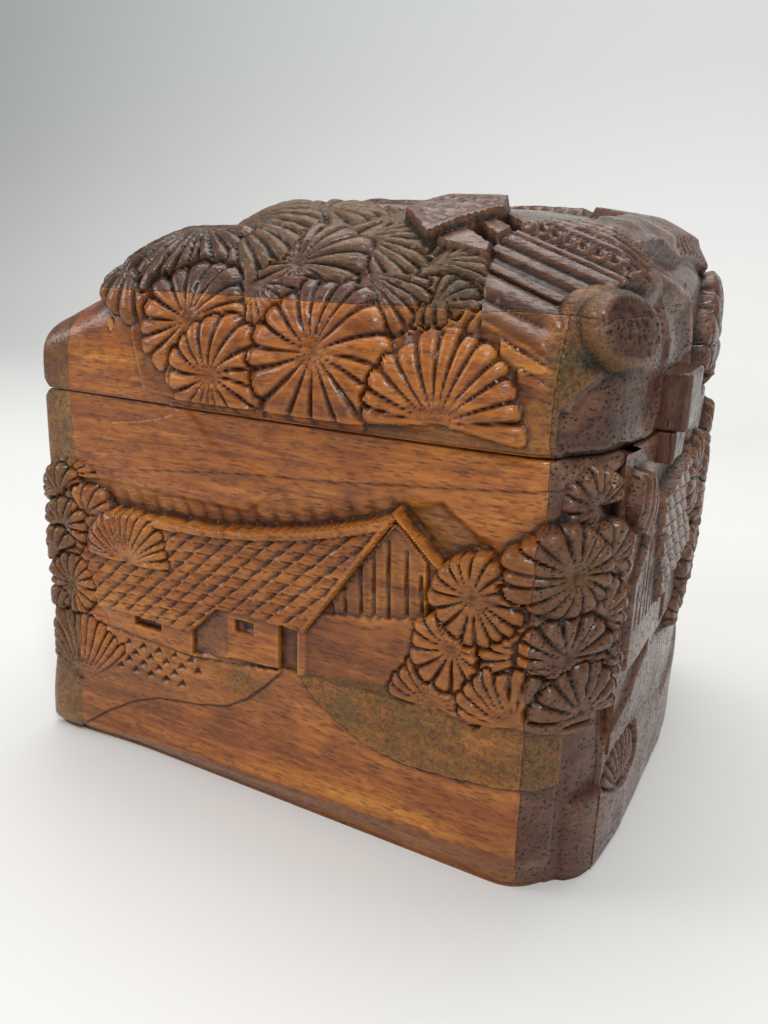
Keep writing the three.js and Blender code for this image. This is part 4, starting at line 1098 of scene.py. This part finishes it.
def carved_wood(name, light, middle, dark, stain, tint, grain, pores=0.5, gloss=0.30):
    """Varnished wood: bands, streaks and fibres along the grain, open pores, stain and painted shade in the
    cuts, worn ridges with a painted highlight, and the mossy stipple where the carver laid it."""
    t = Tree(name)
    stretch = np.array(GRAIN[grain], float)
    turned = {"x": (0.03, 0.05, 0.02), "y": (0.05, 0.02, 0.04), "z": (0.06, 0.04, 0)}[grain]
    bands = t.noise(t.scaled(tuple(stretch * 5.0), turned), 1.0, 4.0, 0.6, 0.9)
    patches = t.noise(t.scaled((28, 28, 28)), 1.0, 2.0, 0.5, 0.4)
    fibres = t.noise(t.scaled(tuple(stretch * 45.0), turned), 1.0, 5.0, 0.75, 0.3)
    value = t.math("ADD", t.math("MULTIPLY", bands, 0.55), t.math("MULTIPLY", fibres, 0.42))
    value = t.math("ADD", value, t.math("MULTIPLY", patches, 0.18))
    colour = t.ramp(value, (0.42, dark), (0.56, middle), (0.70, light))
    streak = t.span(t.noise(t.scaled(tuple(stretch * 16.0), turned), 1.0, 3.0, 0.6, 0.5), 0.57, 0.70)
    colour = t.mix(t.math("MULTIPLY", streak, 0.6), colour, dark)
    mottle = t.noise(t.scaled(tuple(np.minimum(stretch, 3.0) * 150.0), turned), 1.0, 4.0, 0.7, 0.4)
    colour = t.mix(t.span(mottle, 0.46, 0.66, 0.0, 0.60), colour, dark)
    blush = t.span(t.noise(t.scaled((17, 17, 17)), 1.0, 3.0, 0.55, 0.8), 0.50, 0.64)
    colour = t.mix(t.math("MULTIPLY", blush, 0.42), colour, t.mix(0.4, dark, linear(104, 44, 24)))
    # Stained areas take a second colour, in clouds.
    patchy = t.span(t.noise(t.scaled((70, 70, 70)), 1.0, 4.0, 0.65, 0.6), 0.30, 0.70)
    shade = t.mix(patchy, t.mix(1.0, tint, linear(150, 140, 150), "MULTIPLY"), tint)
    shade = t.mix(0.35, shade, colour)
    tinted = t.math("MULTIPLY", t.field("tint"), t.span(patchy, 0, 1, 0.75, 1.0), clamp=True)
    colour = t.mix(tinted, colour, shade)
    # Pores: short dashes along the grain, dense in some bands.
    pore_stretch = np.where(stretch > 1, 1.0, 0.16 if pores < 1 else 0.42)
    dashes = t.cells(t.scaled(tuple(pore_stretch * (1150.0 if pores < 1 else 900.0)), turned), 1.0)
    dots = t.span(dashes, 0.38, 0.20)
    spread = t.span(t.noise(t.scaled(tuple(pore_stretch * 260.0)), 1.0, 2.0), 0.36, 0.50)
    pore = t.math("MULTIPLY", t.math("MULTIPLY", dots, spread), min(pores, 1.0))
    colour = t.mix(t.math("MULTIPLY", pore, 0.92), colour, linear(20, 9, 6))
    # Moss stipple: ochre and olive, with small blue-green patches.
    moss = t.field("moss")
    speck = t.noise(t.scaled((1100, 1100, 1100)), 1.0, 3.0, 0.7)
    cloud = t.noise(t.scaled((70, 70, 70)), 1.0, 5.0, 0.65, 0.5)
    green = t.ramp(cloud, (0.40, linear(146, 94, 34)), (0.54, linear(118, 84, 34)),
                   (0.62, linear(92, 78, 38)), (0.70, linear(52, 64, 48)))
    green = t.mix(t.math("MULTIPLY", t.span(speck, 0.44, 0.60), 0.75), green, linear(58, 40, 18))
    mossy = t.math("MULTIPLY", moss, t.span(cloud, 0.30, 0.55, 0.6, 1.0), clamp=True)
    colour = t.mix(mossy, colour, green)
    # Stain and painted shade darken the cuts and the low ground, the hollow and low fields being painted
    # shade; ridges are worn a little lighter, with a painted highlight.
    hollow = t.field("hollow")
    low = t.field("low")
    depth = t.math("ADD", t.math("MULTIPLY", t.field("stain"), 0.85), t.math("MULTIPLY", hollow, 0.75))
    depth = t.math("ADD", depth, t.math("MULTIPLY", low, 0.35), clamp=True)
    blotches = t.noise(t.scaled((420, 420, 420)), 1.0, 3.0, 0.6)
    depth = t.math("MULTIPLY", depth, t.span(blotches, 0.25, 0.7, 0.72, 1.0), clamp=True)
    plain = t.math("SUBTRACT", 1.0, t.field("tint"), clamp=True)
    # Ridges drawn lighter: wear together with a painted highlight.
    rubbed_and_lit = t.math("MULTIPLY", t.span(hollow, -0.10, -0.6), plain)
    colour = t.mix(t.math("MULTIPLY", rubbed_and_lit, 0.25), colour, light)
    colour = t.mix(t.math("MULTIPLY", depth, 0.92), colour, stain)
    t.put(t.shader.inputs["Base Color"], colour)
    rough = t.span(blotches, 0.3, 0.7, gloss - 0.08, gloss + 0.12)
    rough = t.math("ADD", rough, t.math("MULTIPLY", mossy, 0.25))
    rough = t.math("ADD", rough, t.math("MULTIPLY", depth, 0.15))
    t.put(t.shader.inputs["Roughness"], t.math("ADD", rough, t.math("MULTIPLY", pore, 0.3), clamp=True))
    t.shader.inputs["Specular IOR Level"].default_value = 0.34
    t.shader.inputs["Coat Weight"].default_value = 0.18
    t.shader.inputs["Coat Roughness"].default_value = 0.12
    fine = t.bump(t.math("SUBTRACT", t.math("MULTIPLY", fibres, 0.7), pore), 0.00025, 0.7)
    tooled = t.noise(t.scaled((260, 260, 260)), 1.0, 3.0, 0.55, 0.2)
    fine = t.bump(tooled, 0.0010, 0.40, fine)
    stipple = t.math("MULTIPLY", speck, moss)
    t.put(t.shader.inputs["Normal"], t.bump(stipple, 0.0010, 0.85, fine))
    return t.material


# Each wood: light, middle and dark bands, the colour of the stain and painted shade in its cuts, and its
# second colour.
MAHOGANY = (linear(198, 128, 52), linear(162, 92, 34), linear(100, 48, 18), linear(38, 14, 6),
            linear(104, 62, 30))
ROSEWOOD = (linear(128, 90, 68), linear(92, 59, 42), linear(56, 32, 22), linear(20, 11, 7),
            linear(90, 64, 28))


def plain_wood(name, light, middle, dark, grain):
    """Oiled, uncarved wood with bands, fibres and pores."""
    t = Tree(name)
    stretch = np.array(GRAIN[grain], float)
    bands = t.noise(t.scaled(tuple(stretch * 5.0), (0.02, 0.04, 0.03)), 1.0, 4.0, 0.6, 0.8)
    fibres = t.noise(t.scaled(tuple(stretch * 60.0)), 1.0, 4.0, 0.7, 0.2)
    value = t.math("ADD", t.math("MULTIPLY", bands, 0.7), t.math("MULTIPLY", fibres, 0.35))
    colour = t.ramp(value, (0.36, dark), (0.52, middle), (0.70, light))
    dashes = t.cells(t.scaled(tuple(np.where(stretch > 1, 1.0, 0.12) * 1100.0)), 1.0)
    pore = t.span(dashes, 0.26, 0.14)
    colour = t.mix(t.math("MULTIPLY", pore, 0.6), colour, linear(50, 26, 14))
    t.put(t.shader.inputs["Base Color"], colour)
    t.put(t.shader.inputs["Roughness"], t.span(fibres, 0.2, 0.8, 0.42, 0.6))
    height = t.math("SUBTRACT", t.math("MULTIPLY", fibres, 0.5), pore)
    t.put(t.shader.inputs["Normal"], t.bump(height, 0.0002, 0.6))
    return t.material


def brass_finish():
    t = Tree("dulled_brass")
    cloud = t.noise(t.scaled((160, 160, 160)), 1.0, 4.0, 0.6, 0.4)
    brushed = t.noise(t.scaled((3000, 90, 3000)), 1.0, 3.0, 0.6)
    colour = t.ramp(cloud, (0.35, linear(150, 112, 58)), (0.6, linear(196, 158, 92)))
    t.put(t.shader.inputs["Base Color"], colour)
    t.shader.inputs["Metallic"].default_value = 1.0
    t.put(t.shader.inputs["Roughness"], t.span(cloud, 0.3, 0.7, 0.26, 0.48))
    t.put(t.shader.inputs["Normal"], t.bump(brushed, 0.00006, 0.5))
    return t.material


def felt_finish():
    t = Tree("wine_felt")
    fuzz = t.noise(t.scaled((1500, 1500, 1500)), 1.0, 5.0, 0.75, 0.6)
    wide = t.noise(t.scaled((60, 60, 60)), 1.0, 3.0, 0.6)
    colour = t.ramp(fuzz, (0.3, linear(62, 8, 18)), (0.7, linear(126, 24, 40)))
    colour = t.mix(t.math("MULTIPLY", wide, 0.3), colour, linear(58, 8, 16))
    t.put(t.shader.inputs["Base Color"], colour)
    t.shader.inputs["Roughness"].default_value = 0.95
    t.shader.inputs["Sheen Weight"].default_value = 0.5
    t.shader.inputs["Sheen Roughness"].default_value = 0.4
    t.put(t.shader.inputs["Normal"], t.bump(fuzz, 0.0005, 0.9))
    return t.material


# ---- Carved planks ------------------------------------------------------------------
FAR = 140.0  # past every side of the box, for the cutting tools
GROOVE_DEEP = 14.0  # reach of the V-groove that lets the lid fold back
GROOVE_ANGLE = 50.0
BARREL_ROOM = 2.7  # radius cleared round a hinge barrel
SCREW_ROOM = 1.15  # radius cleared round a screw
SLOT_WIDTH = 0.44  # slot in a screw's head


def wall_boxes(z0, z1):
    return {
        "front": ((-JOINT_X, -FAR, z0), (JOINT_X, -INNER_Y, z1)),
        "back": ((-JOINT_X, INNER_Y, z0), (JOINT_X, FAR, z1)),
        "left": ((-FAR, -FAR, z0), (-JOINT_X - 2 * GLUE, FAR, z1)),
        "right": ((JOINT_X + 2 * GLUE, -FAR, z0), (FAR, FAR, z1)),
    }


def hinge_cutters(leaf_nodes, side):
    """Tools that clear the left planks for the V-groove, barrels and mortises."""
    groove = bpy.data.meshes.new("groove")
    rise = GROOVE_DEEP * math.tan(math.radians(GROOVE_ANGLE))
    work = bmesh.new()
    profile = [(0, 0), (-GROOVE_DEEP, rise), (-GROOVE_DEEP, -rise)]
    near = [work.verts.new(Vector((PIN[0] + x, -FAR, PIN[2] + z)) * MM) for x, z in profile]
    far = [work.verts.new(Vector((PIN[0] + x, FAR, PIN[2] + z)) * MM) for x, z in profile]
    work.faces.new(near)
    work.faces.new(far[::-1])
    for i in range(3):
        work.faces.new([near[i], far[i], far[(i + 1) % 3], near[(i + 1) % 3]])
    bmesh.ops.recalc_face_normals(work, faces=work.faces)
    work.to_mesh(groove)
    work.free()
    tools = [groove]
    for node in leaf_nodes:
        low, high = span(node)
        face = PIN[2] + side * 0.2
        deep = PIN[2] + side * 1.5
        z0, z1 = min(face - side, deep), max(face - side, deep)
        tools.append(bar_mesh("barrel", BARREL_ROOM, low[1] - 0.6, high[1] + 0.6, PIN[0], PIN[2]))
        tools.append(box_mesh("mortise", (PIN[0], low[1] - 0.3, z0), (high[0] + 1.4, high[1] + 0.3, z1)))
    return tools


def screw_holes(names):
    holes = []
    for name in names:
        low, high = span(name)
        mesh = bpy.data.meshes.new("hole")
        work = bmesh.new()
        centre = Vector((low + high) / 2) * MM
        bmesh.ops.create_cone(work, cap_ends=True, segments=24, radius1=SCREW_ROOM * MM,
                              radius2=SCREW_ROOM * MM, depth=(high[2] - low[2] + 1) * MM,
                              matrix=Matrix.Translation(centre))
        work.to_mesh(mesh)
        work.free()
        holes.append(mesh)
    return holes


CASE_LEAVES = ["hinge_front_case_leaf", "hinge_back_case_leaf"]
LID_LEAVES = ["hinge_front_lid_leaf", "hinge_back_lid_leaf"]
CASE_SCREWS = [f"case_screw_{k}" for k in (1, 2, 3, 4)]
LID_SCREWS = [f"lid_screw_{k}" for k in (1, 2, 3, 4)]


def flatten_round_pull(relief):
    """The ground round the finger pull and its keeper is left low."""
    low, high = span("lid_pull", "keeper_block")
    y, z = relief.p[:, 1], relief.p[:, 2]
    outside = np.maximum(np.maximum(low[1] - y, y - high[1]), np.maximum(low[2] - z, z - high[2]))
    near = smooth(5, 0.8, outside) * (relief.p[:, 0] > 70)
    relief.h = mix(relief.h, np.minimum(relief.h, -0.4), near)


def build_case():
    points, normals = case_surface()
    rows, count = points.shape[:2]
    relief = Relief(points.reshape(-1, 3), normals.reshape(-1, 3))
    carve_right(relief)
    carve_left(relief)
    carve_back(relief)
    carve_front(relief)
    front_leaves(relief)
    flatten_round_pull(relief)
    ease_seam(relief, CASE_TOP)
    relief.h[relief.p[:, 2] < 1.5] -= 0.6
    start = np.arange(rows * count).reshape(rows, count)
    a, b = start[:-1], np.roll(start, -1, axis=1)[:-1]
    c, d = np.roll(start, -1, axis=1)[1:], start[1:]
    quads = np.stack([a, b, c, d], axis=-1).reshape(-1, 4)
    return carved_mesh("case_skin", relief, quads, [start[0][::-1], start[-1]])


def build_lid():
    points, normals, quads, bottom = lid_surface()
    relief = Relief(points, normals)
    carve_lid_top(relief)
    carve_lid_right(relief)
    lid_back_leaves(relief)
    carve_lid_front(relief)
    lid_leaves(relief)
    carve_crest_house(relief)
    carve_ribbed_roof(relief)
    carve_lid_corner(relief)
    flatten_round_pull(relief)
    ease_seam(relief, LID_BOTTOM)
    return carved_mesh("lid_skin", relief, quads, [bottom])


def planks():
    """Cuts the carved skins into their planks, each with its own piece of wood."""
    front_wood = carved_wood("front_mahogany", *MAHOGANY, "x")
    end_wood = carved_wood(
        "end_mahogany", linear(150, 108, 58), linear(118, 78, 38), linear(82, 50, 24), linear(34, 16, 9),
        linear(124, 80, 40), "y", pores=0.8,
    )
    golden = linear(134, 88, 44)  # the leaves at the front right corner
    dark_wood = carved_wood("end_rosewood", *ROSEWOOD[:4], golden, "y", pores=1.0)
    top_wood = carved_wood("top_rosewood", *ROSEWOOD, "x", pores=0.8, gloss=0.26)
    woods = {"front": (front_wood, "mahogany"), "back": (front_wood, "mahogany"),
             "left": (end_wood, "mahogany"), "right": (dark_wood, "rosewood")}
    case_skin = build_case()
    lid_skin = build_lid()
    keeper_low, keeper_high = span("keeper_block")
    pull_low, pull_high = span("lid_pull")
    peg_low, peg_high = span("lid_peg")
    for skin, body, prefix, z0, z1, side in (
        (case_skin, "case", "", -1, CASE_TOP, -1), (lid_skin, "lid", "lid_", LID_BOTTOM, TOP_JOINT, 1),
    ):
        for where, (low, high) in wall_boxes(z0, z1).items():
            mesh = boolean(skin.copy(), "INTERSECT", [box_mesh("region", low, high)])
            if where == "left":
                leaves = CASE_LEAVES if side < 0 else LID_LEAVES
                screws = CASE_SCREWS if side < 0 else LID_SCREWS
                mesh = boolean(mesh, "DIFFERENCE", hinge_cutters(leaves, side) + screw_holes(screws))
            if where == "right":
                block = (keeper_low, keeper_high) if side < 0 else (pull_low, pull_high)
                room = box_mesh("room", block[0] - [0.1, 0.15, 0.15], block[1] + [20, 0.15, 0.15])
                mesh = boolean(mesh, "DIFFERENCE", [room])
            if where == "front" and side > 0:
                mesh = boolean(mesh, "DIFFERENCE", [oval_bar(peg_low - [0.1, 9, 0.1], peg_high + 0.1)])
            name = f"{prefix}{where}_wall"
            material, slot = woods[where]
            finish_piece(f"carved_{name}", mesh, body, slot, material, name)
    between = box_mesh("between", (-JOINT_X, -INNER_Y + 0.1, CEILING),
                       (JOINT_X, INNER_Y - 0.1, TOP_JOINT + 1))
    over = box_mesh("over", (-FAR, -FAR, TOP_JOINT + 2 * GLUE), (FAR, FAR, 260))
    region = boolean(over, "UNION", [between])
    top = boolean(lid_skin, "INTERSECT", [region])
    finish_piece("carved_lid_top", top, "lid", "rosewood", top_wood, "lid_top")


# ---- Fittings -----------------------------------------------------------------------


def eased_block(name, low, high, ease, segments=3):
    mesh = box_mesh(name, low, high)
    work = bmesh.new()
    work.from_mesh(mesh)
    bmesh.ops.bevel(work, geom=list(work.edges), offset=ease * MM, segments=segments, affect="EDGES",
                    profile=0.6)
    work.to_mesh(mesh)
    work.free()
    return mesh


def tray_and_boards():
    woods = {axis: plain_wood(f"tray_wood_{axis}", linear(176, 122, 74), linear(146, 94, 52),
                              linear(112, 66, 34), axis) for axis in "xy"}
    nodes = {
        "case": ["base_board", "tray_runner_front", "tray_runner_back"],
        "tray": ["tray_floor", "tray_front", "tray_back", "tray_left", "tray_right", "tray_long_divider",
                 "tray_cross_divider_left", "tray_cross_divider_right"],
    }
    for body, names in nodes.items():
        for name in names:
            low, high = span(name)
            axis = "x" if high[0] - low[0] > high[1] - low[1] else "y"
            mesh = eased_block(name, low, high, 0.5)
            finish_piece(f"eased_{name}", mesh, body, "tray_wood", woods[axis], name, angle=60)


def felts():
    """Felt pads with a slightly uneven nap and soft edges."""
    material = felt_finish()
    for name, body in (("base_felt", "case"), ("lid_felt", "lid"), ("tray_felt", "tray")):
        low, high = span(name)
        work = bmesh.new()
        count = 60
        bmesh.ops.create_grid(work, x_segments=count, y_segments=count, size=0.5)
        top = high[2] if name != "lid_felt" else low[2]
        bottom = low[2] if name != "lid_felt" else high[2]
        for vert in work.verts:
            x = mix(low[0], high[0], vert.co.x + 0.5)
            y = mix(low[1], high[1], vert.co.y + 0.5)
            edge = min(x - low[0], high[0] - x, y - low[1], high[1] - y)
            dip = 0.8 * math.exp(-edge / 0.8) + 0.12 * math.sin(x * 0.31) * math.sin(y * 0.27)
            vert.co = Vector((x, y, top + (bottom - top) * 0.35 * max(dip, 0))) * MM
        base = bmesh.ops.extrude_face_region(work, geom=list(work.faces))
        for item in base["geom"]:
            if isinstance(item, bmesh.types.BMVert):
                item.co.z = bottom * MM
        bmesh.ops.recalc_face_normals(work, faces=work.faces)
        mesh = built(name, work)
        piece = finish_piece(f"napped_{name}", mesh, body, "felt", material, name, angle=70)


def blocks_and_peg():
    """Finger pull, keeper and the oval filler peg."""
    wood = carved_wood("pull_rosewood", linear(110, 76, 56), linear(78, 48, 34), linear(50, 28, 20),
                       linear(26, 13, 9), linear(70, 50, 40), "z", pores=0.9)
    for name, body in (("lid_pull", "lid"), ("keeper_block", "case")):
        low, high = span(name)
        mesh = eased_block(name, low, high, 1.3, 4)
        work = bmesh.new()
        work.from_mesh(mesh)
        bmesh.ops.subdivide_edges(work, edges=list(work.edges), cuts=5, use_grid_fill=True)
        for vert in work.verts:
            x, y, z = np.array(vert.co) / MM
            if x > low[0] + 2.5:
                bow = 0.5 * noise(np.array([[x, y, z]]), 5.0, 7)[0] + 0.18 * math.sin(y * 2.4)
                vert.co.x += 0.6 * bow * MM
        work.to_mesh(mesh)
        work.free()
        finish_piece(f"worn_{name}", mesh, body, "rosewood", wood, name, angle=60)
    mesh = oval_bar(*span("lid_peg"), rim=0.2)
    light = plain_wood("peg_wood", linear(206, 158, 92), linear(184, 128, 66), linear(150, 96, 46), "x")
    finish_piece("oval_lid_peg", mesh, "lid", "tray_wood", light, "lid_peg", angle=50)


def brassware():
    """Hinge leaves and pins keep their CAD shape; each screw gets a slotted head."""
    brass = brass_finish()
    for node in CASE_LEAVES + LID_LEAVES + ["hinge_front_pin", "hinge_back_pin"]:
        fittings = bpy.data.objects[node]
        for slot in fittings.material_slots:
            slot.material = brass
    for body, names, side in (("case", CASE_SCREWS, -1), ("lid", LID_SCREWS, 1)):
        for name in names:
            low, high = span(name)
            centre = (low + high) / 2
            radius = (high[0] - low[0]) / 2
            face = high[2] if side < 0 else low[2]
            work = bmesh.new()
            profile = [(0.02, 0), (radius - 0.12, 0), (radius, 0.14), (0.9, radius - 0.9)]
            turns = 7
            length = high[2] - low[2]
            for k in range(turns * 2):
                reach = 0.9 if k % 2 else 0.68
                depth = radius - 0.8 + (length - radius - 0.6) * k / (turns * 2)
                profile.append((reach * (1 - 0.35 * k / (turns * 2)), depth))
            profile.append((0.02, length - 0.05))
            rings = []
            for r, depth in profile:
                rings.append([work.verts.new(Vector((
                    centre[0] + r * math.cos(a), centre[1] + r * math.sin(a), face + side * depth)) * MM)
                    for a in np.linspace(0, 2 * math.pi, 28, endpoint=False)])
            for one, two in zip(rings, rings[1:]):
                for k in range(28):
                    work.faces.new([one[k], one[(k + 1) % 28], two[(k + 1) % 28], two[k]])
            work.faces.new(rings[0])
            work.faces.new(rings[-1][::-1])
            bmesh.ops.recalc_face_normals(work, faces=work.faces)
            mesh = built(name, work)
            z0, z1 = sorted((face + side * 0.5, face - side * 1.0))
            half = np.array([SLOT_WIDTH / 2, 3.0])
            slot = box_mesh("slot", (*(centre[:2] - half), z0), (*(centre[:2] + half), z1))
            mesh = boolean(mesh, "DIFFERENCE", [slot])
            finish_piece(f"slotted_{name}", mesh, body, "brass", brass, name, angle=30)


# ---- Camera, floor and light --------------------------------------------------------


def camera():
    data = bpy.data.cameras.new("camera")
    data.sensor_width = 36
    data.lens = 31.76
    data.shift_x = 0.0609
    data.shift_y = -0.0288
    data.clip_start = 0.01
    piece = new_object("camera", data)
    right = Vector((0.85757, 0.51422, 0.01239))
    up = Vector((-0.15476, 0.23497, 0.9596))
    back = -Vector((-0.49054, 0.82484, -0.28108))
    turn = Matrix((right, up, back)).transposed().to_4x4()
    piece.matrix_world = Matrix.Translation(Vector((138.75, -288.58, 178.19)) * MM) @ turn
    bpy.context.scene.camera = piece


def floor():
    work = bmesh.new()
    profile = [(-3.0, 0.0), (0.55, 0.0)]
    for angle in np.linspace(0, 90, 10)[1:]:
        a = math.radians(angle)
        profile.append((0.55 + 0.35 * math.sin(a), 0.35 - 0.35 * math.cos(a)))
    profile.append((0.90, 3.0))
    previous = None
    for y, z in profile:
        pair = [work.verts.new((x, y, z)) for x in (-4, 4)]
        if previous:
            work.faces.new([previous[0], previous[1], pair[1], pair[0]])
        previous = pair
    mesh = built("backdrop", work)
    mesh.polygons.foreach_set("use_smooth", np.ones(len(mesh.polygons), bool))
    t = Tree("pale_paper")
    cloud = t.noise(t.scaled((2, 2, 2)), 1.0, 2.0)
    paper = t.ramp(cloud, (0.3, linear(224, 224, 221)), (0.7, linear(230, 229, 226)))
    height = t.add("ShaderNodeSeparateXYZ")
    t.put(height.inputs["Vector"], t.place)
    # Painted shade: the paper is drawn darker up the backdrop, where less lamp light reaches.
    paper = t.mix(t.span(height.outputs["Z"], 0.0, 0.5), paper, linear(206, 208, 208))
    t.put(t.shader.inputs["Base Color"], paper)
    t.shader.inputs["Roughness"].default_value = 0.7
    mesh.materials.append(t.material)
    new_object("backdrop", mesh)


def lamp(name, place, size, power, colour=(1, 1, 1)):
    data = bpy.data.lights.new(name, "AREA")
    data.shape = "RECTANGLE"
    data.size, data.size_y = size
    data.energy = power
    data.color = colour
    piece = new_object(name, data)
    aim = Vector((0, 0, 0.08)) - Vector(place)
    piece.matrix_world = Matrix.Translation(place) @ aim.to_track_quat("-Z", "Y").to_matrix().to_4x4()


def lights():
    world = bpy.data.worlds.new("studio")
    world.use_nodes = True
    background = world.node_tree.nodes["Background"]
    background.inputs["Color"].default_value = (0.92, 0.96, 1.0, 1)
    background.inputs["Strength"].default_value = 0.34
    bpy.context.scene.world = world
    lamp("overhead", (-0.1, 0.25, 1.1), (1.0, 0.7), 8.3, (1, 0.99, 0.97))
    lamp("left_window", (-1.0, -0.6, 0.7), (0.5, 0.5), 4.8, (0.98, 0.99, 1))
    lamp("glint", (0.42, -0.55, 1.0), (0.22, 0.22), 4.5)
    lamp("front_fill", (0.8, -1.2, 0.6), (0.9, 0.6), 3.4)
    bpy.context.scene.view_settings.view_transform = "Standard"


camera()
planks()
tray_and_boards()
felts()
blocks_and_peg()
brassware()
floor()
lights()
